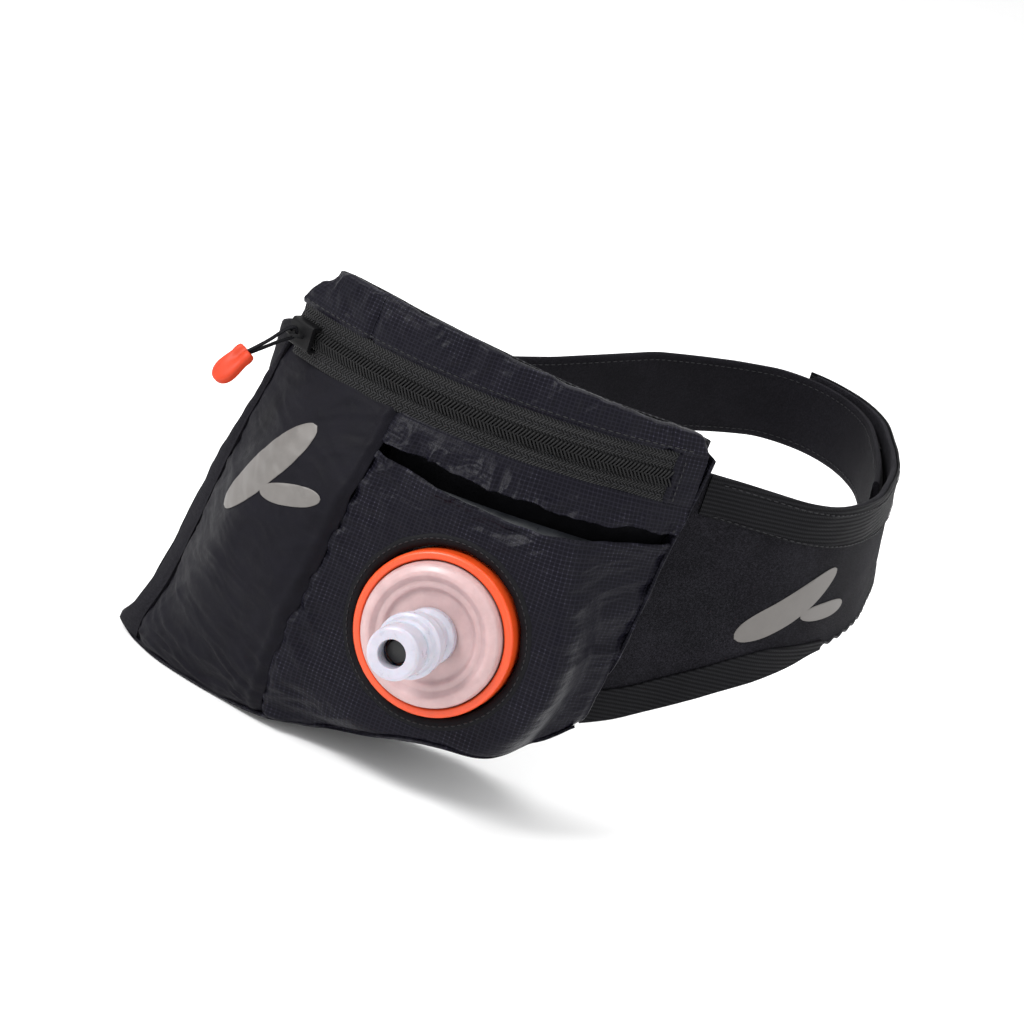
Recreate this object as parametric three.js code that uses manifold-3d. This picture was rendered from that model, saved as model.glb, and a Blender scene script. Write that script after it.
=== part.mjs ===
// Waist pack with a soft flask, a curved front zip and a wide wrap-around belt with a hook-and-loop closure.
// Millimetres. +X is to the wearer's left, +Y points at the wearer's back, +Z is up.
// The origin is under the middle of the whole part, at the level of the flat bottom.
import * as THREE from "three";
import { mergeVertices } from "three/addons/utils/BufferGeometryUtils.js";
import Module from "manifold-3d";

const wasm = await Module();
wasm.setup();

const DEG = Math.PI / 180;
const GAP = 0.3;

// ---- Driving dimensions -------------------------------------------------------------------------------------
// The zip, the panels and the back all lie on curves round one upright axis.
const ARC_X = -26;
const ARC_Y = 33;
const ARC_R = 142;

const FABRIC = 1.5;
const BACK_THICK = 4;
const LEFT_END_BULGE = 2.5;
// Middle of the whole part in plan, as measured from the upright axis's own datum.
const MIDDLE_X = 2.46;
const MIDDLE_Y = -1.89;
// Height of the ground under the datum that all heights below are measured from.
const GROUND = -5.5;
const ZIP_BOTTOM = 118;
const ZIP_MIDDLE = 127;
const ZIP_TOP = 136;
const MOUTH_Z = 104;
const MOUTH_SAG = 4;
const LIP_Z = 109.5;

// Side edges and the panel seam: height, then angle round the upright axis in degrees.
const LEFT_EDGE = [[0, -32], [35, -30.5], [65, -29.5], [90, -27], [110, -25], [136, -22.5], [155, -21.5]];
const RIGHT_EDGE = [[0, 35], [40, 36.5], [60, 37.5], [80, 38.5], [100, 39.5], [118, 41], [136, 42], [155, 42]];
const PANEL_SEAM = [[0, -6], [20, -5], [45, -4], [70, -3], [100, -2], [118, -1.5]];

// Heights along the pack: angle, then height.
const TOP_EDGE = [[-24, 150], [-17, 153], [-10, 153.5], [0, 152.5], [10, 151], [25, 147], [36, 145], [40, 143.5], [42, 141]];
const FRONT_BOTTOM = [[-33, -4], [-30, -5.5], [-16, -5.5], [-10, -4.5], [-4, -2], [2, 2.5], [8, 10], [14, 17],
  [20, 20.5], [26, 23.5], [30, 28.5], [33, 36], [36, 47.5]];

const BACK_BOTTOM = [[-33, -5.5], [3, -5.5], [9, -3.5], [16, 0], [22, 3], [26, 6], [32, 13.5], [36, 21]];

// Share of the bottom strip's width that slopes; the rest, at the back, is level.
const GUSSET_SLOPES = 0.75;

// Depths in front of the zip's curve. BULGE runs from the front's bottom edge (0) to the zip's lower seam (1).
const BULGE = [[0, 12], [0.07, 17], [0.17, 20], [0.34, 21], [0.5, 20], [0.63, 17.5], [0.72, 14.5], [0.8, 11],
  [0.88, 6.5], [0.95, 2.5], [1, 0]];
const POCKET_BULGE = 0.84;
const LEFT_EDGE_DEPTH = [[0, 14.5], [10, 15], [35, 10], [60, 5], [100, 0], [136, -3]];
const RIGHT_EDGE_DEPTH = [[0, 3], [40, 4], [58, 5], [76, 4], [98, 2], [118, 0], [136, 0]];
const EDGE_FADE = 14;
const RIGHT_END_DEPTH = [[22, -17], [32, -10], [46, -1], [58, 4.5], [76, 4], [98, 2], [118, 0], [136, 0]];
const BACK_DEPTH = [[0, -28], [20, -30], [50, -30], [80, -26], [100, -20], [118, -14], [136, -11.5], [152, -9.5]];
const BACK_EDGE_DEPTH = [[0, -20], [50, -20], [100, -15], [118, -12], [136, -10.5], [152, -9.5]];
const DIVIDER_DEPTH = [[0, -10], [20, -14], [60, -14], [80, -11], [100, -5], [112, -2], [118, -1.6]];

// Flask cap: centre of the screw ring's front face, and the way the cap faces.
const CAP_CENTRE = new THREE.Vector3(12, -125, 57);
const CAP_TURN = 5 * DEG;
const CAP_TILT = 8 * DEG;
const CAP_AXIS = new THREE.Vector3(
  Math.sin(CAP_TURN) * Math.cos(CAP_TILT),
  -Math.cos(CAP_TURN) * Math.cos(CAP_TILT),
  Math.sin(CAP_TILT),
);
const PANEL_BEHIND_RING = 5;
const RING_R = 28.5;
const HOLE_R = 29.3;
const BINDING_R = 33.5;
const NECK_R = 21;
const FLAT_ROUND_CAP = [40, 62];

// Belt: plan points from the pack's right end, round behind the wearer, to the pack's left end.
const BELT_PATH = [[47.3, -71.2], [54, -66.3], [61, -60.5], [72, -52], [84, -44], [96, -34], [104.5, -17], [107.5, 12],
  [103, 46], [95, 78], [84.5, 106], [73, 130], [58, 146], [42, 152.5], [26, 150], [10, 138.5], [-5, 123], [-20, 104],
  [-36, 82], [-54, 57], [-74, 29], [-92, 1], [-104, -28], [-107, -52], [-102, -69], [-92, -78.5], [-81.5, -87], [-74, -93]];
// Fraction of the belt path, then height of the top and bottom edges.
const WING_TOP = [[0, 127], [0.03, 128], [0.07, 126.5], [0.12, 124], [0.22, 121.5], [0.34, 116.5], [0.45, 115]];
const WING_BOTTOM = [[0, 28], [0.03, 33.5], [0.06, 42], [0.1, 55], [0.14, 65], [0.19, 67], [0.27, 71], [0.36, 78], [0.45, 81]];
const BELT_TOP = [[0.2, 113.5], [0.5, 114], [0.6, 111.5], [0.68, 103.5], [0.76, 98.5], [0.85, 101], [0.93, 115.5], [0.97, 124]];
const BELT_BOTTOM = [[0.2, 77], [0.35, 83], [0.5, 81], [0.6, 75], [0.68, 64], [0.76, 54], [0.85, 37], [0.93, 14], [0.97, 5]];
// The belt leans, so that its lower edge stands further out: fraction of the path, then lean. Nothing shifts at LEAN_FROM.
const BELT_LEAN = [[0.1, 0], [0.2, 0.12], [0.28, 0.15], [0.46, 0.15], [0.6, 0.05], [0.7, 0]];
const LEAN_FROM = 105;
const WING_SPLIT = 0.345;
const WING_END = 0.485;
const BELT_START = 0.25;
const NEOPRENE = 2.6;
const WING_INSIDE = 1.4;
const BELT_OUTSIDE = -1.2;
const BINDING_TALL = 15;
const BINDING_THICK = 0.8;

// ---- Small helpers ------------------------------------------------------------------------------------------
/** Value of a table of [where, value] rows at x, with straight runs between rows. */
function at(table, x) {
  if (x <= table[0][0]) return table[0][1];
  for (let i = 1; i < table.length; i++) {
    const [x1, y1] = table[i];
    const [x0, y0] = table[i - 1];
    if (x <= x1) return y0 + ((y1 - y0) * (x - x0)) / (x1 - x0);
  }
  return table[table.length - 1][1];
}

const mix = (a, b, t) => a + (b - a) * t;

function smooth(t) {
  const c = Math.min(1, Math.max(0, t));
  return c * c * (3 - 2 * c);
}

/** Point at an angle round the upright axis, a depth in front of the zip's curve, and a height. */
function polar(angle, depth, z) {
  const r = ARC_R + depth;
  return [ARC_X + r * Math.sin(angle * DEG), ARC_Y - r * Math.cos(angle * DEG), z];
}

/** Angle that spans a length along the zip's curve. */
const arcAngle = (length) => length / ARC_R / DEG;
const SEAM_GAP = arcAngle(GAP);

/** Closed solid between two faces that are sampled on the same grid. */
function gridSolid(outer, inner, across, up) {
  const positions = [];
  const row = across + 1;
  const count = row * (up + 1);
  for (const face of [outer, inner]) {
    for (let j = 0; j <= up; j++) {
      for (let i = 0; i <= across; i++) positions.push(...face(i / across, j / up));
    }
  }
  const index = [];
  const quad = (a, b, c, d) => index.push(a, b, c, a, c, d);
  for (let j = 0; j < up; j++) {
    for (let i = 0; i < across; i++) {
      const a = j * row + i;
      quad(a, a + 1, a + 1 + row, a + row);
      quad(count + a, count + a + row, count + a + 1 + row, count + a + 1);
    }
  }
  const rim = [];
  for (let i = 0; i < across; i++) rim.push(i);
  for (let j = 0; j < up; j++) rim.push(j * row + across);
  for (let i = across; i > 0; i--) rim.push(up * row + i);
  for (let j = up; j > 0; j--) rim.push(j * row);
  rim.forEach((a, k) => {
    const b = rim[(k + 1) % rim.length];
    quad(b, a, count + a, count + b);
  });
  return facingOut(positions, index);
}

/** Geometry from points and triangles, turned the right way out. */
function facingOut(positions, index) {
  let volume = 0;
  const point = (k) => new THREE.Vector3(...positions.slice(3 * k, 3 * k + 3));
  for (let t = 0; t < index.length; t += 3) {
    volume += point(index[t]).dot(point(index[t + 1]).cross(point(index[t + 2])));
  }
  const turned = volume > 0 ? index : index.slice().reverse();
  const geometry = new THREE.BufferGeometry();
  geometry.setAttribute("position", new THREE.Float32BufferAttribute(positions, 3));
  geometry.setIndex(turned);
  geometry.computeVertexNormals();
  return geometry;
}

function toManifold(geometry) {
  const plain = geometry.clone();
  plain.deleteAttribute("normal");
  plain.deleteAttribute("uv");
  const merged = mergeVertices(plain, 1e-4);
  return new wasm.Manifold(new wasm.Mesh({
    numProp: 3,
    vertProperties: new Float32Array(merged.attributes.position.array),
    triVerts: new Uint32Array(merged.index.array),
  }));
}

function fromManifold(solid) {
  const mesh = solid.getMesh();
  const geometry = new THREE.BufferGeometry();
  geometry.setAttribute("position", new THREE.BufferAttribute(new Float32Array(mesh.vertProperties), 3));
  geometry.setIndex(new THREE.BufferAttribute(new Uint32Array(mesh.triVerts), 1));
  geometry.computeVertexNormals();
  return geometry;
}

/** Turned part on the cap's axis. The profile is [radius, distance in front of the ring's face] rows. */
function onCapAxis(profile, segments = 40) {
  const points = profile.map(([r, a]) => new THREE.Vector2(r, a));
  const geometry = new THREE.LatheGeometry(points, segments);
  const turn = new THREE.Quaternion().setFromUnitVectors(new THREE.Vector3(0, 1, 0), CAP_AXIS);
  geometry.applyQuaternion(turn);
  geometry.translate(CAP_CENTRE.x, CAP_CENTRE.y, CAP_CENTRE.z);
  return geometry;
}

/** Closed ring profile with square corners. */
const tube = (inner, outer, back, front) => [[inner, back], [outer, back], [outer, front], [inner, front], [inner, back]];

/** Closed disc or rod profile that starts and ends on the axis. */
const rod = (radius, back, front) => [[0, back], [radius, back], [radius, front], [0, front]];

// ---- Shape of the pack's front and back ---------------------------------------------------------------------
/** Depth of the front's outer face. Round the cap the cloth is pulled flat. */
function frontDepth(angle, z) {
  const bottom = at(FRONT_BOTTOM, angle);
  const rise = (z - bottom) / (ZIP_BOTTOM - bottom);
  const onPocket = smooth((angle - at(PANEL_SEAM, z)) / 6);
  const middle = at(BULGE, rise) * mix(1, POCKET_BULGE, onPocket);
  const fromLeft = smooth((angle - at(LEFT_EDGE, z)) / EDGE_FADE);
  const fromRight = smooth((at(RIGHT_EDGE, z) - angle) / EDGE_FADE);
  let depth = mix(at(LEFT_EDGE_DEPTH, z), middle, fromLeft);
  depth = mix(at(RIGHT_EDGE_DEPTH, z), depth, fromRight);
  const onPlane = planeDepth(angle, z);
  const [x, y] = polar(angle, onPlane, z);
  const away = new THREE.Vector3(x, y, z).sub(CAP_CENTRE);
  const radius = away.addScaledVector(CAP_AXIS, -away.dot(CAP_AXIS)).length();
  const flat = 1 - smooth((radius - FLAT_ROUND_CAP[0]) / (FLAT_ROUND_CAP[1] - FLAT_ROUND_CAP[0]));
  return mix(depth, onPlane, flat);
}

/** Depth at which an upright line through the pack's axis meets the flat face behind the screw ring. */
function planeDepth(angle, z) {
  const face = CAP_CENTRE.clone().addScaledVector(CAP_AXIS, -PANEL_BEHIND_RING);
  const start = new THREE.Vector3(ARC_X, ARC_Y, z);
  const out = new THREE.Vector3(Math.sin(angle * DEG), -Math.cos(angle * DEG), 0);
  return face.sub(start).dot(CAP_AXIS) / out.dot(CAP_AXIS) - ARC_R;
}

/** Depth of the face that the wearer feels. */
function backDepth(angle, z) {
  const fromLeft = smooth((angle - at(LEFT_EDGE, z)) / EDGE_FADE);
  const fromRight = smooth((at(RIGHT_EDGE, z) - angle) / EDGE_FADE);
  return mix(at(BACK_EDGE_DEPTH, z), at(BACK_DEPTH, z), fromLeft * fromRight);
}

/** Panel of cloth between two side edges and two heights; `face` gives the depth of its outer face. */
function panel({ left, right, bottom, top, face, thick, across, up }) {
  const layer = (inward) => (u, v) => {
    const guess = mix(left(ZIP_BOTTOM / 2), right(ZIP_BOTTOM / 2), u);
    const z = mix(bottom(guess), top(guess), v);
    const angle = mix(left(z), right(z), u);
    const level = mix(bottom(angle), top(angle), v);
    return polar(angle, face(angle, level) - inward, level);
  };
  return gridSolid(layer(0), layer(thick), across, up);
}

const leftEdge = (z) => at(LEFT_EDGE, z) + SEAM_GAP;
const rightEdge = (z) => at(RIGHT_EDGE, z) - SEAM_GAP;
const seamLeft = (z) => at(PANEL_SEAM, z) - SEAM_GAP / 2;
const seamRight = (z) => at(PANEL_SEAM, z) + SEAM_GAP / 2;
const frontFoot = (angle) => at(FRONT_BOTTOM, angle) + FABRIC + 3 * GAP;

/** Height of the pocket's top edge: the mouth gapes in the middle. */
function mouthHeight(angle) {
  const along = (angle - at(PANEL_SEAM, MOUTH_Z)) / (at(RIGHT_EDGE, MOUTH_Z) - at(PANEL_SEAM, MOUTH_Z));
  return MOUTH_Z - MOUTH_SAG * Math.sin(Math.PI * Math.min(1, Math.max(0, along)));
}

// ---- Cloth body of the pack ---------------------------------------------------------------------------------
function backPanel() {
  return panel({
    left: leftEdge, right: rightEdge,
    bottom: (angle) => at(BACK_BOTTOM, angle) + FABRIC + 3 * GAP, top: (angle) => at(TOP_EDGE, angle) - 1,
    face: (angle, z) => backDepth(angle, z) + BACK_THICK, thick: BACK_THICK, across: 14, up: 9,
  });
}

function sidePanel() {
  return panel({
    left: leftEdge, right: seamLeft, bottom: frontFoot, top: () => ZIP_BOTTOM,
    face: frontDepth, thick: FABRIC, across: 8, up: 12,
  });
}

/** Outer wall of the flask pocket, with a round hole for the flask's cap. */
function pocketPanel() {
  const cloth = panel({
    left: seamRight, right: rightEdge, bottom: frontFoot, top: mouthHeight,
    face: frontDepth, thick: FABRIC, across: 18, up: 14,
  });
  const cutter = onCapAxis(rod(BINDING_R + GAP, -30, 20), 48);
  return fromManifold(toManifold(cloth).subtract(toManifold(cutter)));
}

/** Gathered strip between the zip and the pocket mouth. Its lower edge hangs over the slit. */
function upperBand() {
  return panel({
    left: seamRight, right: rightEdge, bottom: () => LIP_Z, top: () => ZIP_BOTTOM,
    face: (angle, z) => frontDepth(angle, z) + 0.6, thick: FABRIC, across: 12, up: 3,
  });
}

/** Wall between the flask pocket and the main compartment. */
function divider() {
  return panel({
    left: seamRight, right: rightEdge, bottom: dividerFoot, top: () => ZIP_BOTTOM - GAP,
    face: (angle, z) => dividerDepth(angle, z), thick: 1.2, across: 12, up: 8,
  });
}

/** Height of the divider's lower edge, just above the bottom strip. */
function dividerFoot(angle) {
  const [front, back] = gussetReach(angle);
  const share = (front - dividerDepth(angle, 2)) / (front - back);
  return gussetHeight(angle, share) + FABRIC + 3 * GAP;
}

/** Depth of the divider's front face, kept inside the thin side edges. */
function dividerDepth(angle, z) {
  const fromRight = smooth((at(RIGHT_EDGE, z) - angle) / EDGE_FADE);
  const edge = Math.max(at(DIVIDER_DEPTH, z), mix(at(RIGHT_EDGE_DEPTH, z), at(BACK_EDGE_DEPTH, z), 0.45));
  return mix(edge, at(DIVIDER_DEPTH, z), fromRight);
}

/** Front and back depths of the bottom strip at an angle. */
function gussetReach(angle) {
  return [frontDepth(angle, at(FRONT_BOTTOM, angle)) - 0.4, backDepth(angle, at(BACK_BOTTOM, angle))];
}

/** Height of the bottom strip's underside, a share of the way from the front (0) to the back (1). */
function gussetHeight(angle, share) {
  return mix(at(FRONT_BOTTOM, angle), at(BACK_BOTTOM, angle), Math.min(1, share / GUSSET_SLOPES));
}

/** Bottom strip: flat on the ground at the left and at the back, and lifting towards the front on the flask side. */
function bottomGusset() {
  const reach = (inset) => (u, v) => {
    const angle = mix(at(LEFT_EDGE, 0) + SEAM_GAP, at(RIGHT_EDGE, 0) - SEAM_GAP, u);
    const [front, back] = gussetReach(angle);
    return polar(angle, mix(front, back, v), gussetHeight(angle, v) + inset);
  };
  return gridSolid(reach(0), reach(FABRIC), 16, 8);
}

/** End wall that closes the pack between the front and the back. It bulges a little outwards. */
function endPanel(edge, side, edgeDepth, bottom, top, bulge) {
  const layer = (full) => (u, v) => {
    const z = mix(bottom, top, v);
    const depth = mix(at(edgeDepth, z), at(BACK_EDGE_DEPTH, z), u);
    const thick = full ? FABRIC + bulge * Math.sin(Math.PI * u) : 0;
    return polar(at(edge, z) + side * (SEAM_GAP + arcAngle(thick)), depth, z);
  };
  return gridSolid(layer(true), layer(false), 4, 10);
}

/** Band above the zip, from one side seam to the other. It closes against the back panel at the top. */
function collar(from, to, across) {
  const layer = (front) => (u, v) => {
    const angle = mix(from, to, u);
    const z = mix(ZIP_TOP + GAP, Math.max(at(TOP_EDGE, angle), ZIP_TOP + 2), v);
    const back = backDepth(angle, z) + BACK_THICK + GAP;
    const face = mix(0.6, -2.4, v * v);
    return polar(angle, front ? face : Math.min(back, face - 1), z);
  };
  return gridSolid(layer(true), layer(false), across, 3);
}

// ---- Zip ----------------------------------------------------------------------------------------------------
const ZIP_LEFT = -21.5;
const ZIP_RIGHT = 37;
const COIL_TALL = 3;
const COIL_THICK = 2;

function zipStrip(from, to, bottom, top, back, front, across = 20) {
  const layer = (depth) => (u, v) => polar(mix(from, to, u), depth, mix(bottom, top, v));
  return gridSolid(layer(front), layer(back), across, 1);
}

const SLIDER_ANGLE = -19.5;
const SLIDER_LONG = 11;
const SLIDER_TALL = 9.4;

/** Slider: a front plate whose two lips reach back beside the coil. */
function zipSlider() {
  const half = SLIDER_TALL / 2;
  const shape = new THREE.Shape();
  shape.moveTo(-half, -3.9);
  shape.lineTo(-half, -1.2);
  shape.quadraticCurveTo(-half, 0, -half + 1.2, 0);
  shape.lineTo(half - 1.2, 0);
  shape.quadraticCurveTo(half, 0, half, -1.2);
  shape.lineTo(half, -3.9);
  shape.lineTo(half - 1, -3.9);
  shape.lineTo(half - 1, -1.5);
  shape.lineTo(-half + 1, -1.5);
  shape.lineTo(-half + 1, -3.9);
  shape.closePath();
  const geometry = new THREE.ExtrudeGeometry(shape, { depth: SLIDER_LONG, bevelEnabled: false, curveSegments: 3 });
  geometry.translate(0, 0, -SLIDER_LONG / 2);
  return placeOnZip(geometry, SLIDER_ANGLE, 4.5);
}

/** Puts a shape on the zip's centre line: its X goes down, its Y outwards and its Z along the zip. */
function placeOnZip(geometry, angle, depth) {
  const out = new THREE.Vector3(Math.sin(angle * DEG), -Math.cos(angle * DEG), 0);
  const down = new THREE.Vector3(0, 0, -1);
  const along = new THREE.Vector3().crossVectors(down, out);
  const frame = new THREE.Matrix4().makeBasis(down, out, along);
  frame.setPosition(...polar(angle, depth, ZIP_MIDDLE));
  geometry.applyMatrix4(frame);
  return geometry;
}

/** Point given in the slider's own directions: along the zip, outwards and up. */
function bySlider(along, outward, up) {
  const [x, y, z] = polar(SLIDER_ANGLE, 4.5 + outward, ZIP_MIDDLE + up);
  const a = SLIDER_ANGLE * DEG;
  return new THREE.Vector3(x + along * Math.cos(a), y + along * Math.sin(a), z);
}

/** Tube of round section that follows a list of points. */
function cordAlong(points, radius, sides, steps) {
  const path = new THREE.CatmullRomCurve3(points, false, "centripetal");
  const ring = new THREE.Shape();
  for (let k = 0; k < sides; k++) {
    const a = (2 * Math.PI * k) / sides;
    if (k === 0) ring.moveTo(radius, 0);
    else ring.lineTo(radius * Math.cos(a), radius * Math.sin(a));
  }
  ring.closePath();
  return new THREE.ExtrudeGeometry(ring, { steps, extrudePath: path, bevelEnabled: false });
}

/** Bail: a low arch on the slider that the puller's cord goes through. */
function sliderBail() {
  return cordAlong([
    bySlider(-4.2, 0.35, 0), bySlider(-4, 2, 0), bySlider(-2.6, 3.1, 0),
    bySlider(0.4, 3.1, 0), bySlider(1.8, 2, 0), bySlider(2, 0.35, 0),
  ], 0.7, 8, 14);
}

/** Doubled cord: one line goes up from the grip, round the bail and back down. */
function pullerCord() {
  return cordAlong([
    bySlider(-9.9, 14, -12.2), bySlider(-6.5, 10, -8.2), bySlider(-2.2, 4.6, -2.9), bySlider(-0.9, 1.9, -1.3),
    bySlider(-0.6, 1.2, 0.4), bySlider(-0.9, 2.2, 2.3), bySlider(-1.4, 4.9, 1.6), bySlider(-4.4, 9.4, -4.2),
    bySlider(-8.7, 14.2, -10.6),
  ], 0.65, 8, 40);
}

/** Moulded grip: a flat tongue with a round end. */
function pullerGrip() {
  const shape = new THREE.Shape();
  shape.moveTo(-4, 0);
  shape.lineTo(4, 0);
  shape.lineTo(4.9, 9.5);
  shape.absarc(0, 9.5, 4.9, 0, Math.PI, false);
  shape.closePath();
  const geometry = new THREE.ExtrudeGeometry(shape, {
    depth: 3, bevelEnabled: true, bevelSize: 0.8, bevelThickness: 0.8, bevelSegments: 2, curveSegments: 8,
  });
  geometry.translate(0, 0, -1.5);
  const from = bySlider(-10.4, 16.1, -13.2);
  const along = bySlider(-17, 24, -21.5).sub(from).normalize();
  const side = new THREE.Vector3().crossVectors(along, bySlider(1, 0, 0).sub(bySlider(0, 0, 0))).normalize();
  const width = new THREE.Vector3().crossVectors(along, side).normalize();
  const frame = new THREE.Matrix4().makeBasis(width, along, new THREE.Vector3().crossVectors(width, along));
  frame.setPosition(from);
  geometry.applyMatrix4(frame);
  return geometry;
}

// ---- Belt ---------------------------------------------------------------------------------------------------
const beltCurve = new THREE.CatmullRomCurve3(BELT_PATH.map(([x, y]) => new THREE.Vector3(x, y, 0)), false, "centripetal");
beltCurve.arcLengthDivisions = 800;
const BELT_LENGTH = beltCurve.getLength();

/** Point on the belt: fraction of its path, distance to the outside, height. */
function onBelt(s, outward, z) {
  const p = beltCurve.getPointAt(Math.min(1, Math.max(0, s)));
  const t = beltCurve.getTangentAt(Math.min(1, Math.max(0, s)));
  const out = outward + at(BELT_LEAN, s) * (LEAN_FROM - z);
  return [p.x + out * t.y, p.y - out * t.x, z];
}

/** Strip of belt between two fractions of the path, two heights and two distances to the outside. */
function ribbon({ from, to, bottom, top, inside, outside, across, up = 2 }) {
  const layer = (outward) => (u, v) => {
    const s = mix(from(v), to(v), u);
    return onBelt(s, outward, mix(bottom(s), top(s), v));
  };
  return gridSolid(layer(outside), layer(inside), across, up);
}

/** Round end of a strip: its last few millimetres get shorter towards the top and bottom edges. */
const roundEnd = (s, mm) => (v) => s - (mm / BELT_LENGTH) * (2 * v - 1) ** 4;

const wingTop = (s) => at(WING_TOP, s);
const wingBottom = (s) => at(WING_BOTTOM, s);
const beltTop = (s) => at(BELT_TOP, s);
const beltBottom = (s) => at(BELT_BOTTOM, s);
const fixed = (s) => () => s;

/** Fraction of the belt path between two limits at which it lies at an angle round the upright axis. */
function pathAtAngle(wanted, low, high) {
  let [a, b] = [low, high];
  const rising = beltAngle(b) > beltAngle(a);
  for (let k = 0; k < 24; k++) {
    const middle = (a + b) / 2;
    if (beltAngle(middle) < wanted === rising) a = middle;
    else b = middle;
  }
  return (a + b) / 2;
}

function beltAngle(s) {
  const p = beltCurve.getPointAt(s);
  return Math.atan2(p.x - ARC_X, ARC_Y - p.y) / DEG;
}

/** Where the right wing meets the pack's leaning right end, by height. */
function wingRoot(v) {
  const z = mix(26, 128, v);
  return pathAtAngle(at(RIGHT_EDGE, z) + arcAngle(FABRIC + 3 * GAP), 0, 0.08);
}

/** Where the left belt meets the pack's leaning left end, by height. */
function beltRoot(v) {
  const z = mix(5, 124, v);
  return pathAtAngle(at(LEFT_EDGE, z) - arcAngle(FABRIC + LEFT_END_BULGE + 2 * GAP), 0.93, 1);
}

const wingOuter = WING_INSIDE + NEOPRENE;

function rightWing() {
  return ribbon({
    from: wingRoot, to: fixed(WING_SPLIT - 0.0008), bottom: wingBottom, top: wingTop,
    inside: WING_INSIDE, outside: wingOuter, across: 22, up: 3,
  });
}

function rightWingTip() {
  return ribbon({
    from: fixed(WING_SPLIT), to: roundEnd(WING_END, 9), bottom: wingBottom, top: wingTop,
    inside: WING_INSIDE, outside: wingOuter, across: 12, up: 6,
  });
}

function leftBelt() {
  return ribbon({
    from: (v) => BELT_START + (6 / BELT_LENGTH) * (2 * v - 1) ** 4, to: beltRoot, bottom: beltBottom, top: beltTop,
    inside: BELT_OUTSIDE - NEOPRENE, outside: BELT_OUTSIDE, across: 46, up: 4,
  });
}

/** Ribbed elastic sewn flat on the outside of the wing, along one of its long edges. */
function wingBinding(from, to, low, high) {
  return ribbon({
    from: fixed(from), to: fixed(to), bottom: low, top: high,
    inside: wingOuter + 2 * GAP, outside: wingOuter + 2 * GAP + BINDING_THICK, across: 22, up: 1,
  });
}

// ---- Flask --------------------------------------------------------------------------------------------------
/** Soft flask: a pillow that fills the pocket, with a round seat for the neck. */
function flaskBag() {
  const layer = (front) => (u, v) => {
    const z = mix(9, 97, v);
    const angle = mix(Math.max(1, at(PANEL_SEAM, z) + 3), at(RIGHT_EDGE, z) - 4.5 - 3 * (1 - v), u);
    const level = Math.max(z, at(FRONT_BOTTOM, angle) + 6 + 4 * (1 - v));
    const full = (Math.sin(Math.PI * mix(0.04, 0.96, u)) * Math.sin(Math.PI * mix(0.05, 0.95, v))) ** 0.38;
    const back = dividerDepth(angle, level) + 0.6;
    const face = frontDepth(angle, level) - FABRIC - 1.2;
    const middle = mix(back, face, 0.45);
    return polar(angle, mix(middle, front ? face : back, full), level);
  };
  const pillow = gridSolid(layer(true), layer(false), 16, 12);
  const seat = onCapAxis(rod(RING_R + 2 * GAP, -13.9, 30), 40);
  return fromManifold(toManifold(pillow).subtract(toManifold(seat)));
}

// ---- Reflective marks ---------------------------------------------------------------------------------------
/** Slanted leaf laid on a face; `place(along, up)` gives a point for a distance along and a height. */
function leafMark(place, long, wide, slant) {
  const layer = (lift) => (u, v) => {
    const t = 2 * u - 1;
    const half = (wide / 2) * Math.sqrt(Math.max(0.04, 1 - t * t));
    const along = (t * long) / 2;
    const across = (2 * v - 1) * half;
    return place(
      along * Math.cos(slant) - across * Math.sin(slant),
      along * Math.sin(slant) + across * Math.cos(slant),
      lift,
    );
  };
  return gridSolid(layer(0.9), layer(0.5), 12, 2);
}

const SIDE_MARK = [-17, 82];
const WING_MARK_S = 0.118;
const WING_MARK_Z = 86;

function onSidePanel(along, up, lift) {
  const angle = SIDE_MARK[0] + arcAngle(along);
  const z = SIDE_MARK[1] + up;
  return polar(angle, frontDepth(angle, z) + lift, z);
}

function onWing(along, up, lift) {
  return onBelt(WING_MARK_S + along / BELT_LENGTH, wingOuter + lift, WING_MARK_Z + up);
}

// ---- Assembly -----------------------------------------------------------------------------------------------
const group = new THREE.Group();
group.name = "waist_pack";

const COLOURS = {
  ripstop: 0x23232d, knit: 0x262526, tape: 0x1c1c1e, elastic: 0x202022, orange: 0xf0622a, grip: 0xd95a30,
  clear: 0xd8bdb8, white: 0xe8e8ec, black: 0x101012, grey: 0xa8a29c, mesh: 0x2a2a2e, bag: 0xc9d3dc,
};

function add(name, geometry, colour) {
  const material = new THREE.MeshStandardMaterial({ color: COLOURS[colour], roughness: 0.8 });
  material.name = name;
  geometry.translate(-MIDDLE_X, -MIDDLE_Y, -GROUND);
  const mesh = new THREE.Mesh(geometry, material);
  mesh.name = name;
  group.add(mesh);
}

const COLLAR_SEAM = -9;
const COLLAR_END = 41.2;

function addCloth() {
  add("back_panel", backPanel(), "mesh");
  add("side_panel", sidePanel(), "ripstop");
  add("pocket_panel", pocketPanel(), "ripstop");
  add("hole_binding", onCapAxis(tube(HOLE_R, BINDING_R, -PANEL_BEHIND_RING - 1.8, -PANEL_BEHIND_RING + 0.4), 40), "tape");
  add("upper_band", upperBand(), "ripstop");
  add("divider", divider(), "ripstop");
  add("bottom_gusset", bottomGusset(), "ripstop");
  add("left_end_panel", endPanel(LEFT_EDGE, -1, LEFT_EDGE_DEPTH, GROUND + 2.2, 139, LEFT_END_BULGE), "knit");
  add("right_end_panel", endPanel(RIGHT_EDGE, 1, RIGHT_END_DEPTH, 24, 136, 0), "ripstop");
  add("collar_left", collar(at(LEFT_EDGE, ZIP_TOP) + 0.6, COLLAR_SEAM - SEAM_GAP, 5), "ripstop");
  add("collar_right", collar(COLLAR_SEAM, COLLAR_END, 14), "ripstop");
}

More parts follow.
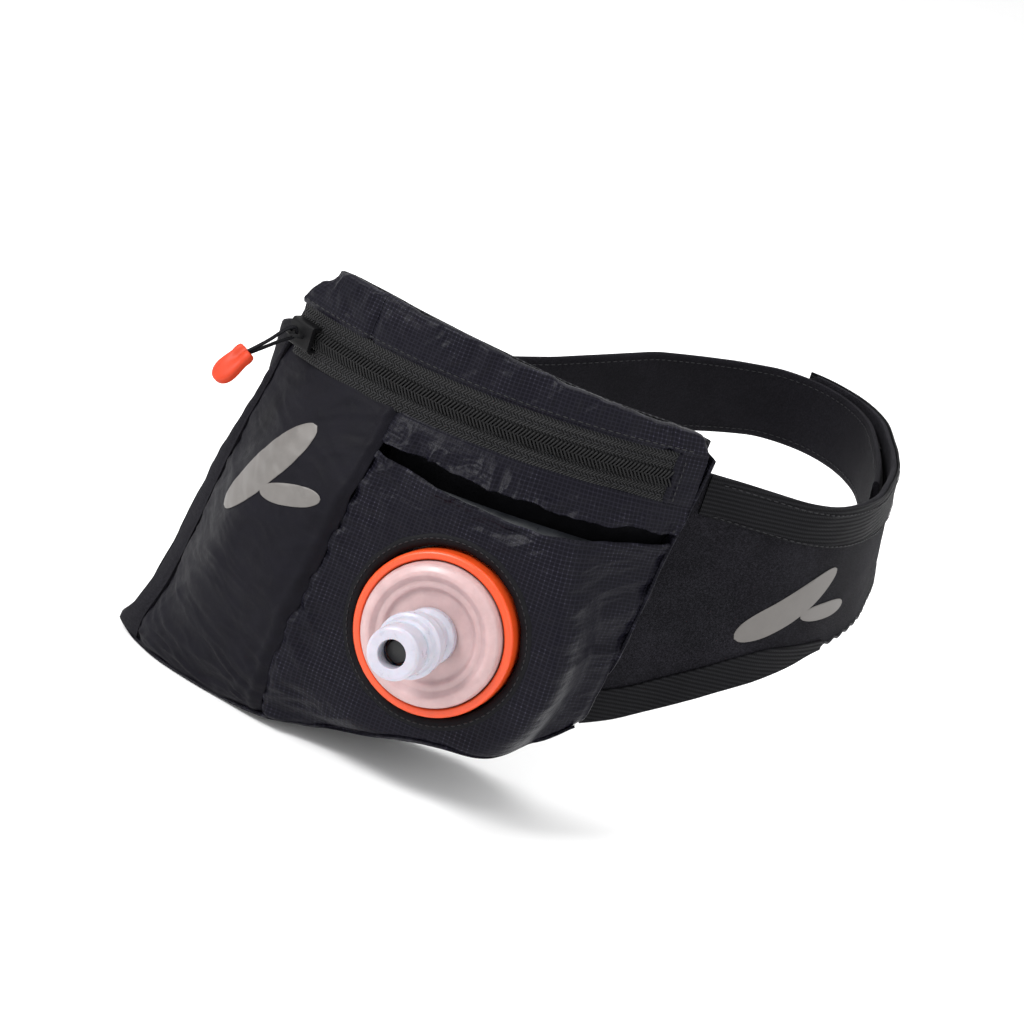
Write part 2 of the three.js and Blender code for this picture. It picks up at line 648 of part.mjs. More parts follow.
function addZip() {
  const tapeGap = 0.5;
  add("zip_tape_upper", zipStrip(ZIP_LEFT, ZIP_RIGHT, ZIP_MIDDLE + tapeGap, ZIP_TOP, -1, 0), "tape");
  add("zip_tape_lower", zipStrip(ZIP_LEFT, ZIP_RIGHT, ZIP_BOTTOM + GAP, ZIP_MIDDLE - tapeGap, -1, 0), "tape");
  const coilFrom = ZIP_LEFT + 1;
  const half = GAP / 2;
  add("zip_coil_upper", zipStrip(coilFrom, ZIP_RIGHT, ZIP_MIDDLE + half, ZIP_MIDDLE + half + COIL_TALL,
    GAP, GAP + COIL_THICK), "tape");
  add("zip_coil_lower", zipStrip(coilFrom, ZIP_RIGHT, ZIP_MIDDLE - half - COIL_TALL, ZIP_MIDDLE - half,
    GAP, GAP + COIL_THICK), "tape");
  add("zip_end_tab", zipStrip(ZIP_RIGHT + 0.2, COLLAR_END - 0.2, ZIP_BOTTOM + GAP, ZIP_TOP, -1.2, 0.6, 4), "ripstop");
  add("zip_slider", zipSlider(), "black");
  add("slider_bail", sliderBail(), "black");
  add("puller_cord", pullerCord(), "black");
  add("puller_grip", pullerGrip(), "grip");
}

function addBelt() {
  add("right_wing", rightWing(), "knit");
  add("right_wing_tip", rightWingTip(), "knit");
  add("wing_top_binding", wingBinding(0.04, WING_SPLIT - 0.002, (s) => wingTop(s) - BINDING_TALL,
    (s) => wingTop(s) - 0.5), "elastic");
  add("wing_bottom_binding", wingBinding(0.034, 0.15, (s) => wingBottom(s) + 0.5,
    (s) => wingBottom(s) + BINDING_TALL - 2), "elastic");
  add("left_belt", leftBelt(), "knit");
  const patchBottom = (s) => beltBottom(s) + 4;
  const patchTop = (s) => beltTop(s) - 4;
  add("loop_patch", ribbon({
    from: fixed(WING_SPLIT + 0.012), to: fixed(WING_END - 0.016), bottom: patchBottom, top: patchTop,
    inside: 0.15, outside: WING_INSIDE - 0.6, across: 14, up: 1,
  }), "tape");
  add("hook_patch", ribbon({
    from: fixed(BELT_START + 0.012), to: fixed(0.44), bottom: patchBottom, top: patchTop,
    inside: BELT_OUTSIDE + GAP, outside: -0.15, across: 14, up: 1,
  }), "tape");
}

function addFlask() {
  add("flask_bag", flaskBag(), "bag");
  add("flask_neck", onCapAxis(tube(16.8, NECK_R, -13.6, -6.9)), "clear");
  add("cap_gasket", onCapAxis(tube(16.5, 20.8, -6.6, -5.1)), "white");
  add("cap_ring", onCapAxis([[NECK_R + 0.5, -12.5], [27.7, -12.5], [RING_R, -11.5], [RING_R, -1], [27.7, 0], [25.7, 0],
    [25.3, -0.6], [25.3, -4.9], [NECK_R + 0.5, -4.9], [NECK_R + 0.5, -12.5]], 48), "orange");
  add("cap_dome", onCapAxis([[0, -4.6], [25, -4.6], [25, 0.5], [24.2, 3.2], [22, 4.5], [20.8, 4.6], [18.6, 3],
    [16.6, 2.6], [15.6, 1.5], [0, 1.5]], 48), "clear");
  add("valve_stem", onCapAxis([[6.5, 1.8], [9.8, 1.8], [9.8, 5], [8.2, 6.4], [8.2, 26], [6.5, 26], [6.5, 1.8]], 32), "white");
  add("valve_core", onCapAxis([[0, 1.8], [6.2, 1.8], [6.2, 3.8], [4.4, 5], [4.4, 31.4], [3.6, 32.3], [0, 32.3]], 28), "black");
  add("valve_nozzle", onCapAxis([[8.5, 14.5], [10.4, 14.5], [10.8, 17], [10.4, 20.4], [11.2, 21], [11.2, 22.6],
    [10, 23.4], [9.4, 26], [8.4, 27.2], [8.4, 28.6], [9.2, 29.4], [9, 37], [8.2, 38], [4.9, 38], [4.75, 37.4],
    [4.75, 32.2], [8.5, 31.6], [8.5, 14.5]], 32), "white");
}

function addMarks() {
  add("side_mark", leafMark(onSidePanel, 40, 15, 62 * DEG), "grey");
  add("wing_mark", leafMark(onWing, 34, 13, 42 * DEG), "grey");
}

addCloth();
addZip();
addBelt();
addFlask();
addMarks();

export default group;
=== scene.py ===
"""Looks of the waist pack, built over its CAD frame. Everything is in the CAD's own frame."""
import math

import bmesh
import bpy
import numpy as np
from mathutils import Matrix, Vector


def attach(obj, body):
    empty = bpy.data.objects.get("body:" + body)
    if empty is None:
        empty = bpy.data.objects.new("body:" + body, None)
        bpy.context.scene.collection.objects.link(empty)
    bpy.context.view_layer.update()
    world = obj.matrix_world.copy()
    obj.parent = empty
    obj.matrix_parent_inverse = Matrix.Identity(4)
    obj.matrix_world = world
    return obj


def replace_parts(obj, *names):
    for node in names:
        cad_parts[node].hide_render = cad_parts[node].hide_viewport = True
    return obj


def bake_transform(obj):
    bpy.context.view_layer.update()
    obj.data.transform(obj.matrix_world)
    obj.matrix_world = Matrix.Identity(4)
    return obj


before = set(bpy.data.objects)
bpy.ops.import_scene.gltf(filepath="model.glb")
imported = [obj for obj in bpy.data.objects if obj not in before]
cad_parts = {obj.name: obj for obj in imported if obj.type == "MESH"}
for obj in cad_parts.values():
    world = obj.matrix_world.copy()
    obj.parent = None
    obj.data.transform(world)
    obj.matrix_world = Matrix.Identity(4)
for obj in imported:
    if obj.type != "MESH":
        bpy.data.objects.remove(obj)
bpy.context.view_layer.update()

# The tables below are in millimetres and degrees, from the same datum as on the CAD side. `placed` turns
# points from that datum into metres in the frame.
MM = 0.001
MIDDLE = np.array([2.46, -1.89, -5.5])

def placed(points):
    return (np.asarray(points, float) - MIDDLE) * MM


# ---- Driving dimensions ----
# The pack curves about an upright axis at ARC_X, ARC_Y. A place on it is an angle from the front, positive
# toward +X, then a depth outward from the arc, and a height.
ARC_X = -26.0
ARC_Y = 33.0
ARC_R = 142.0
FABRIC = 1.5
ZIP_BOTTOM = 118.0
ZIP_MIDDLE = 127.0
ZIP_TOP = 136.0
MOUTH_Z = 104.0
MOUTH_SAG = 4.0
LIP_Z = 109.0
GROUND = -5.5
GUSSET_SLOPES = 0.75

# Edges that run up the pack, as (height, angle).
LEFT_EDGE = [(0, -32), (35, -30.5), (65, -29.5), (90, -27), (110, -25), (136, -22.5), (155, -21.5)]
RIGHT_EDGE = [(0, 35), (40, 36.5), (60, 37.5), (80, 38.5), (100, 39.5), (118, 41), (136, 42), (155, 42)]
PANEL_SEAM = [(0, -6), (20, -5), (45, -4), (70, -3), (100, -2), (118, -1.5)]
# Edges that run along it, as (angle, height).
TOP_EDGE = [(-24, 150), (-17, 153), (-10, 153.5), (0, 152.5), (10, 151), (25, 147), (36, 145), (40, 143.5),
            (42, 141)]
FRONT_BOTTOM = [(-33, -4), (-30, -5.5), (-16, -5.5), (-10, -4.5), (-4, -2), (2, 2.5), (8, 10), (14, 17),
                (20, 20.5), (26, 21), (30, 22.5), (33, 26), (36, 33)]
BACK_BOTTOM = [(-33, -5.5), (3, -5.5), (9, -3.5), (16, 0), (22, 3), (26, 6), (32, 13.5), (36, 21)]
# How far the front stands out between its hem and the zip, as (share of the height, depth).
BULGE = [(0, 12), (0.07, 17), (0.17, 20), (0.34, 21), (0.5, 20), (0.63, 17.5), (0.72, 14.5), (0.8, 11),
         (0.88, 6.5), (0.95, 2.5), (1, 0)]
POCKET_BULGE = 0.84
# Depths at the edges, on the back and on the wall inside, as (height, depth).
LEFT_EDGE_DEPTH = [(0, 14.5), (10, 15), (35, 10), (60, 5), (100, 0), (136, -3)]
RIGHT_EDGE_DEPTH = [(0, 3), (40, 4), (58, 5), (76, 4), (98, 2), (118, 0), (136, 0)]
RIGHT_END_DEPTH = [(22, -17), (32, -10), (46, -1), (58, 4.5), (76, 4), (98, 2), (118, 0), (136, 0)]
EDGE_FADE = 14.0
BACK_DEPTH = [(0, -28), (20, -30), (50, -30), (80, -26), (100, -20), (118, -14), (136, -11.5), (152, -9.5)]
BACK_EDGE_DEPTH = [(0, -20), (50, -20), (100, -15), (118, -12), (136, -10.5), (152, -9.5)]
DIVIDER_DEPTH = [(0, -10), (20, -14), (60, -14), (80, -11), (100, -5), (112, -2), (118, -1.6)]

# The cap's axis leans a little toward +X and up. The cloth round it is flat, PANEL_BEHIND_RING behind the
# ring's face, and turns into the bulge between the two radii of FLAT_ROUND_CAP.
CAP_CENTRE = np.array([12.0, -125.0, 57.0])
CAP_TURN = math.radians(5)
CAP_TILT = math.radians(8)
CAP_AXIS = np.array([math.sin(CAP_TURN) * math.cos(CAP_TILT), -math.cos(CAP_TURN) * math.cos(CAP_TILT),
                     math.sin(CAP_TILT)])
PANEL_BEHIND_RING = 5.0
FLAT_ROUND_CAP = (40.0, 62.0)
HOLE_EDGE = 32.7

# The belt in plan, as (x, y), from the pack's right end round the back to its left end. The tables after it
# are (share of the path, height).
BELT_PATH = [(47.3, -71.2), (54, -66.3), (61, -60.5), (72, -52), (84, -44), (96, -34), (104.5, -17),
             (107.5, 12), (103, 46), (95, 78), (84.5, 106), (73, 130), (58, 146), (42, 152.5), (26, 150),
             (10, 138.5), (-5, 123), (-20, 104), (-36, 82), (-54, 57), (-74, 29), (-92, 1), (-104, -28),
             (-107, -52), (-102, -69), (-92, -78.5), (-81.5, -87), (-74, -93)]
WING_TOP = [(0, 127), (0.03, 128), (0.07, 126.5), (0.12, 124), (0.22, 121.5), (0.34, 116.5), (0.45, 115)]
WING_BOTTOM = [(0, 25), (0.03, 30.5), (0.06, 39.5), (0.1, 54), (0.14, 66), (0.19, 69.5), (0.27, 72),
               (0.36, 78), (0.45, 81)]
BELT_TOP = [(0.2, 113.5), (0.5, 114), (0.6, 111.5), (0.68, 103.5), (0.76, 98.5), (0.85, 101), (0.93, 115.5),
            (0.97, 124)]
BELT_BOTTOM = [(0.2, 77), (0.35, 83), (0.5, 81), (0.6, 75), (0.68, 64), (0.76, 54), (0.85, 37), (0.93, 14),
               (0.97, 5)]
# The belt leans, so that its lower edge stands further out: share of the path, then lean.
# Nothing shifts at the height LEAN_FROM.
BELT_LEAN = [(0.1, 0), (0.2, 0.12), (0.28, 0.15), (0.46, 0.15), (0.6, 0.05), (0.7, 0)]
LEAN_FROM = 105
# Where the wing's tip starts and ends and where the belt starts, as shares of the path.
WING_SPLIT = 0.345
WING_END = 0.485
BELT_START = 0.25
# Thickness of the foam, and distances outward from the path.
NEOPRENE = 2.6
WING_INSIDE = 1.4
BELT_OUTSIDE = -1.2
# Angles on the pack.
SLIDER_ANGLE = -19.5
ZIP_LEFT = -21.5
ZIP_RIGHT = 37.0


# ---- Camera ----
CAMERA_AWAY = 0.9


def add_camera():
    """Camera at the photograph's viewing angle and place in the picture."""
    azimuth, elevation, roll = (math.radians(a) for a in (19.0, 21.0, 18.5))
    target = Vector(placed(np.array([0.0, -23.0, 60.0])))
    back = Vector((math.sin(azimuth) * math.cos(elevation), -math.cos(azimuth) * math.cos(elevation),
                   math.sin(elevation)))
    level = Vector((math.cos(azimuth), math.sin(azimuth), 0))
    up = back.cross(level)
    right = level * math.cos(roll) + up * math.sin(roll)
    above = up * math.cos(roll) - level * math.sin(roll)
    data = bpy.data.cameras.new("camera")
    data.lens = 85
    data.sensor_width = 36
    data.shift_x = -0.0177
    data.shift_y = 0.0329
    data.clip_start = 0.05
    camera = bpy.data.objects.new("camera", data)
    place = Matrix((right, above, back)).transposed().to_4x4()
    place.translation = target + back * CAMERA_AWAY
    camera.matrix_world = place
    bpy.context.collection.objects.link(camera)
    bpy.context.scene.camera = camera


def plain_colours():
    """Colours come out as they are lit, with no film curve."""
    settings = bpy.context.scene.view_settings
    settings.view_transform = "Standard"
    settings.look = "None"


# ---- Numbers ----
def at(rows, x, blur=0.0):
    """Value of a table of (where, value) rows at x, softened over a width of 2 * blur."""
    wheres, values = zip(*rows)
    x = np.asarray(x, float)
    if not blur:
        return np.interp(x, wheres, values)
    steps = np.linspace(-blur, blur, 7)
    return sum(np.interp(x + step, wheres, values) for step in steps) / len(steps)


def mix(a, b, t):
    return a + (b - a) * t


def smooth(t):
    t = np.clip(t, 0, 1)
    return t * t * (3 - 2 * t)


def unit(vectors):
    return vectors / np.maximum(np.linalg.norm(vectors, axis=-1, keepdims=True), 1e-9)


def once_round(count):
    """Evenly spaced angles round a circle."""
    return np.linspace(0, 2 * math.pi, count, endpoint=False)


def pairs(a, b):
    """Grid of (a, b) pairs from two arrays that broadcast together."""
    return np.stack(np.broadcast_arrays(a, b), axis=-1)


def gradient_noise(x, y, seed):
    """Smooth noise of about -1 to 1 with a period-free cell of 1."""
    x, y = np.broadcast_arrays(np.asarray(x, float), np.asarray(y, float))
    cell_x, cell_y = np.floor(x).astype(int), np.floor(y).astype(int)
    fx, fy = x - cell_x, y - cell_y

    def corner(dx, dy):
        mixed = (cell_x + dx) * 374761393 + (cell_y + dy) * 668265263 + seed * 2246822519
        mixed = (mixed ^ (mixed >> 13)) * 1274126177
        angle = ((mixed ^ (mixed >> 16)) & 65535) / 65536 * 2 * math.pi
        return np.cos(angle) * (fx - dx) + np.sin(angle) * (fy - dy)

    sx, sy = (t * t * t * (t * (t * 6 - 15) + 10) for t in (fx, fy))
    low = corner(0, 0) * (1 - sx) + corner(1, 0) * sx
    high = corner(0, 1) * (1 - sx) + corner(1, 1) * sx
    return 1.5 * (low * (1 - sy) + high * sy)


def creases(x, y, seed, long, short, turn=0.0):
    """Sharp cloth folds of about -1 to 1, `long` mm apart along their run and `short` mm across it."""
    c, s = math.cos(math.radians(turn)), math.sin(math.radians(turn))
    along, across = (x * c + y * s) / long, (y * c - x * s) / short
    across = across + 0.6 * gradient_noise(along * 1.3, across * 0.5, seed + 7)
    ridge = 1 - 2 * np.abs(gradient_noise(along, across, seed))
    fine = 1 - 2 * np.abs(gradient_noise(along * 2.1 + 5, across * 2.3, seed + 3))
    return 0.7 * (ridge - 0.5) + 0.3 * (fine - 0.5)


def polar(angle, depth, z):
    """Points at angles round the upright axis, depths in front of the zip's curve, and heights."""
    angle, depth, z = np.broadcast_arrays(np.radians(angle), np.asarray(depth, float), np.asarray(z, float))
    r = ARC_R + depth
    return np.stack([ARC_X + r * np.sin(angle), ARC_Y - r * np.cos(angle), z], axis=-1)


def arc_angle(length):
    return np.degrees(length / ARC_R)


def grid(across, up):
    """Grid of u and v, 0 to 1."""
    return np.meshgrid(np.linspace(0, 1, across + 1), np.linspace(0, 1, up + 1))


# ---- Shape of the pack ----
def plane_depth(angle, z):
    """Depth of the flat cloth round the cap."""
    face = CAP_CENTRE - CAP_AXIS * PANEL_BEHIND_RING
    out = np.stack([np.sin(np.radians(angle)), -np.cos(np.radians(angle))], axis=-1)
    toward = out @ CAP_AXIS[:2]
    offset = (face[0] - ARC_X) * CAP_AXIS[0] + (face[1] - ARC_Y) * CAP_AXIS[1] + (face[2] - z) * CAP_AXIS[2]
    return offset / toward - ARC_R


def from_cap(points):
    """Distance of points from the cap's axis."""
    away = points - CAP_CENTRE
    along = away @ CAP_AXIS
    return np.linalg.norm(away - along[..., None] * CAP_AXIS, axis=-1)


def front_bottom(angle):
    return at(FRONT_BOTTOM, angle, 1.5)


def right_angle(z):
    return at(RIGHT_EDGE, z, 6)


def inside_edges(angle, z):
    """How far a place is inside the left and the right edge, from 0 on it to 1 at EDGE_FADE degrees."""
    return smooth((angle - at(LEFT_EDGE, z)) / EDGE_FADE), smooth((at(RIGHT_EDGE, z) - angle) / EDGE_FADE)


def front_depth(angle, z):
    """Depth of the front's outer face. Round the cap the cloth is pulled flat."""
    bottom = front_bottom(angle)
    rise = (z - bottom) / (ZIP_BOTTOM - bottom)
    on_pocket = smooth((angle - at(PANEL_SEAM, z)) / 6)
    middle = at(BULGE, rise, 0.05) * mix(1, POCKET_BULGE, on_pocket)
    from_left, from_right = inside_edges(angle, z)
    depth = mix(at(LEFT_EDGE_DEPTH, z, 8), middle, from_left)
    depth = mix(at(RIGHT_EDGE_DEPTH, z, 8), depth, from_right)
    on_plane = plane_depth(angle, z)
    radius = from_cap(polar(angle, on_plane, z))
    flat = 1 - smooth((radius - FLAT_ROUND_CAP[0]) / (FLAT_ROUND_CAP[1] - FLAT_ROUND_CAP[0]))
    low_left = 5.5 * smooth((22 - z) / 26) * smooth((-10 - angle) / 16)
    return mix(depth, on_plane, flat) + low_left


def back_depth(angle, z):
    """Depth of the back wall, in front of its pad."""
    from_left, from_right = inside_edges(angle, z)
    return mix(at(BACK_EDGE_DEPTH, z, 6), at(BACK_DEPTH, z, 6), from_left * from_right)


def divider_depth(angle, z):
    _, from_right = inside_edges(angle, z)
    edge = np.maximum(at(DIVIDER_DEPTH, z), mix(at(RIGHT_EDGE_DEPTH, z), at(BACK_EDGE_DEPTH, z), 0.45))
    return mix(edge, at(DIVIDER_DEPTH, z), from_right)


def mouth_height(angle):
    """Height of the pocket's sagging mouth."""
    along = (angle - at(PANEL_SEAM, MOUTH_Z)) / (at(RIGHT_EDGE, MOUTH_Z) - at(PANEL_SEAM, MOUTH_Z))
    return MOUTH_Z - MOUTH_SAG * np.sin(math.pi * np.clip(along, 0, 1))


# ---- Shape of the belt ----
def spline(points, steps):
    """Centripetal curve through points, with a number of steps between each two."""
    p = np.asarray(points, float)
    p = np.vstack([2 * p[0] - p[1], p, 2 * p[-1] - p[-2]])
    found = []
    for k in range(1, len(p) - 2):
        q = p[k - 1:k + 3]
        knots = np.concatenate([[0], np.cumsum(np.linalg.norm(np.diff(q, axis=0), axis=1) ** 0.5)])
        t = np.linspace(knots[1], knots[2], steps, endpoint=k == len(p) - 3)[:, None]
        for span in (1, 2):
            q = [((knots[i + span] - t) * q[i] + (t - knots[i]) * q[i + 1]) / (knots[i + span] - knots[i])
                 for i in range(4 - span)]
        found.append(((knots[2] - t) * q[0] + (t - knots[1]) * q[1]) / (knots[2] - knots[1]))
    return np.vstack(found)


def run_along(route):
    """Length run at each point of a route."""
    return np.concatenate([[0], np.cumsum(np.linalg.norm(np.diff(route, axis=0), axis=1))])


BELT_POINTS = spline(BELT_PATH, 40)
BELT_RUN = run_along(BELT_POINTS)
BELT_LENGTH = BELT_RUN[-1]


def belt_plan(s):
    """Places in plan at shares of the belt's path."""
    return np.stack([np.interp(s * BELT_LENGTH, BELT_RUN, BELT_POINTS[:, k]) for k in (0, 1)], axis=-1)


def on_belt(s, outward, z):
    """Points at shares of the belt's path, distances to its outside, and heights."""
    s, outward, z = np.broadcast_arrays(*(np.asarray(part, float) for part in (s, outward, z)))
    outward = outward + at(BELT_LEAN, s, 0.02) * (LEAN_FROM - z)
    step = 0.003
    ahead = unit(belt_plan(np.minimum(s + step, 1)) - belt_plan(np.maximum(s - step, 0)))
    flat = belt_plan(s) + outward[..., None] * np.stack([ahead[..., 1], -ahead[..., 0]], axis=-1)
    return np.concatenate([flat, z[..., None]], axis=-1)


def belt_angle(s):
    """Angles of the belt's path as seen from the pack's upright axis."""
    p = belt_plan(s)
    return np.degrees(np.arctan2(p[..., 0] - ARC_X, ARC_Y - p[..., 1]))


def path_at_angle(wanted, low, high):
    """Share of the path, between two shares, at which the belt stands at an angle."""
    s = np.linspace(low, high, 400)
    angles = belt_angle(s)
    order = np.argsort(angles)
    return np.interp(wanted, angles[order], s[order])


# ---- Mesh tools ----
STITCH_LIFT = 0.05
RIM_BULGE = 0.4


def link(name, points, faces, material, uv=None, body="pack", soft_angle=50):
    """New mesh object from points in mm. `uv` is one pair per point, in mm, for the weave."""
    mesh = bpy.data.meshes.new(name)
    mesh.from_pydata(placed(points).tolist(), [], faces)
    if uv is not None:
        layer = mesh.uv_layers.new(name="cloth")
        corners = np.empty(len(mesh.loops), int)
        mesh.loops.foreach_get("vertex_index", corners)
        layer.data.foreach_set("uv", np.asarray(uv)[corners].astype(np.float32).ravel())
    mesh.materials.append(material)
    mesh.shade_smooth()
    piece = bpy.data.objects.new(name, mesh)
    bpy.context.collection.objects.link(piece)
    fix_faces(mesh, soft_angle)
    if body:
        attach(piece, body)
    return piece


def fix_faces(mesh, soft_angle):
    """Turns all faces outward, and shades edges soft up to an angle in degrees."""
    work = bmesh.new()
    work.from_mesh(mesh)
    bmesh.ops.recalc_face_normals(work, faces=work.faces)
    for edge in work.edges:
        if len(edge.link_faces) == 2:
            edge.smooth = edge.calc_face_angle(0) < math.radians(soft_angle)
    work.to_mesh(mesh)
    work.free()


def cloth_uv(points):
    """Cloth coordinates in mm for points on the pack: run round the upright axis, and height."""
    x, y = points[..., 0] - ARC_X, ARC_Y - points[..., 1]
    return np.stack([np.arctan2(x, y) * ARC_R, points[..., 2]], axis=-1)


def shell(name, outer, inner, material, uv=None, keep=None):
    """Closed sheet between two grids of points, with rounded rims round all its edges and holes."""
    rows, cols = outer.shape[:2]
    uv = cloth_uv(outer) if uv is None else uv
    index = np.arange(rows * cols).reshape(rows, cols)
    cells = np.stack([index[:-1, :-1], index[:-1, 1:], index[1:, 1:], index[1:, :-1]], axis=-1)
    cells = cells.reshape(-1, 4) if keep is None else cells[keep]
    used, cells = np.unique(cells, return_inverse=True)
    cells = cells.reshape(-1, 4)
    front, back, cloth = (g.reshape(rows * cols, -1)[used] for g in (outer, inner, uv))
    count = len(used)
    edges = np.stack([cells, np.roll(cells, -1, axis=1)], axis=-1).reshape(-1, 2)
    rims = edges[~np.isin(edges[:, 0] * count + edges[:, 1], edges[:, 1] * count + edges[:, 0])]
    thick = front - back
    away = np.zeros_like(front)
    steps = np.cross(front[rims[:, 1]] - front[rims[:, 0]], thick[rims[:, 0]])
    np.add.at(away, rims[:, 0], steps)
    np.add.at(away, rims[:, 1], steps)
    middle = (front + back) / 2 + unit(away) * np.linalg.norm(thick, axis=1, keepdims=True) * RIM_BULGE
    on_rim = np.unique(rims)
    place = np.zeros(count, int)
    place[on_rim] = 2 * count + np.arange(len(on_rim))
    faces = [tuple(cell) for cell in cells.tolist()]
    faces += [tuple(count + k for k in reversed(cell)) for cell in cells.tolist()]
    for p, q in rims.tolist():
        faces.append((q, p, int(place[p]), int(place[q])))
        faces.append((int(place[q]), int(place[p]), count + p, count + q))
    points = np.vstack([front, back, middle[on_rim]])
    return link(name, points, faces, material, np.vstack([cloth, cloth, cloth[on_rim]]))


def sheet(name, node, material, angle, depth, z, thick):
    """Cloth of one thickness with its outer face at polar places, standing for a CAD node."""
    piece = shell(name, polar(angle, depth, z), polar(angle, depth - thick, z), material)
    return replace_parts(piece, node)


def ring_faces(total, sides, closed=False, first=0):
    """Faces through a row of rings of points; its ends are capped unless the row closes on itself."""
    faces = []
    for j in range(total if closed else total - 1):
        low, high = first + j * sides, first + (j + 1) % total * sides
        for i in range(sides):
            n = (i + 1) % sides
            faces.append((low + i, low + n, high + n, high + i))
    if not closed:
        last = first + (total - 1) * sides
        faces += [tuple(first + i for i in reversed(range(sides))), tuple(last + i for i in range(sides))]
    return faces


def loft(name, rings, material, uv, body="pack", closed=False, soft_angle=50):
    """Solid through a row of closed rings of points."""
    faces = ring_faces(*rings.shape[:2], closed)
    return link(name, rings.reshape(-1, 3), faces, material, uv.reshape(-1, 2), body, soft_angle)


def beads(name, rings, material, uv=None):
    """One mesh of many small solids, each through its own short row of rings of points."""
    count, total, sides = rings.shape[:3]
    faces = []
    for k in range(count):
        faces += ring_faces(total, sides, first=k * total * sides)
    return link(name, rings.reshape(-1, 3), faces, material, uv, soft_angle=80)


def tube(name, route, radius, material, sides, body="pack"):
    """Tube along points in mm."""
    tangent = unit(np.gradient(route, axis=0))
    side = unit(np.cross(tangent, (0, 0, 1.0)))
    over = np.cross(side, tangent)
    turn = np.linspace(0, 2 * math.pi, sides, endpoint=False)
    wave = np.cos(turn)[None, :, None] * side[:, None] + np.sin(turn)[None, :, None] * over[:, None]
    uv = pairs(run_along(route)[:, None], turn[None] * radius)
    return loft(name, route[:, None] + radius * wave, material, uv, body)


def stitches(name, route, facing, material, pitch=2.6, long=1.8, radius=0.24):
    """Row of sewn stitches along points in mm. `facing` is the cloth's outward direction at each."""
    run = run_along(route)
    centres = np.arange(pitch / 2, run[-1] - pitch / 2, pitch)

    def along_run(rows, where):
        return np.stack([np.interp(where, run, rows[:, k]) for k in range(3)], axis=-1)[:, None]

    out = unit(along_run(np.broadcast_to(facing, route.shape), centres))
    along = unit(along_run(route, centres + long / 2) - along_run(route, centres - long / 2))
    shares = np.array([-0.5, -0.28, 0.28, 0.5])[:, None]
    fat = np.array([0.35, 1, 1, 0.35])[:, None]
    middle = along_run(route, centres) + along * shares * long + out * (STITCH_LIFT + 0.12 * fat)
    turn = np.arange(6)[:, None] * math.pi / 3
    spread = np.cos(turn) * np.cross(out, along)[:, None] + 0.8 * np.sin(turn) * out[:, None]
    return beads(name, middle[:, :, None] + radius * fat[:, None] * spread, material)


def cap_ring_points(radius, ahead, count=240):
    """Circle of points round the cap's axis, a distance in front of the ring's face."""
    side = unit(np.cross([0, 0, 1.0], CAP_AXIS))
    over = np.cross(CAP_AXIS, side)
    turn = once_round(count)[:, None]
    radius = np.broadcast_to(np.asarray(radius, float).reshape(-1, 1), (count, 1))
    return CAP_CENTRE + ahead * CAP_AXIS + radius * (np.cos(turn) * side + np.sin(turn) * over)


def turned(name, profile, material, body, segments=144):
    """Turned part on the cap's axis from (radius, distance in front of the ring's face) rows."""
    closed = profile[0] == profile[-1]
    rows = profile[:-1] if closed else profile
    rings = np.stack([cap_ring_points(radius, ahead, segments) for radius, ahead in rows])
    turn = once_round(segments)
    uv = pairs(turn[None] * 30, run_along(rows)[:, None])
    return loft(name, rings, material, uv, body, closed, soft_angle=38)


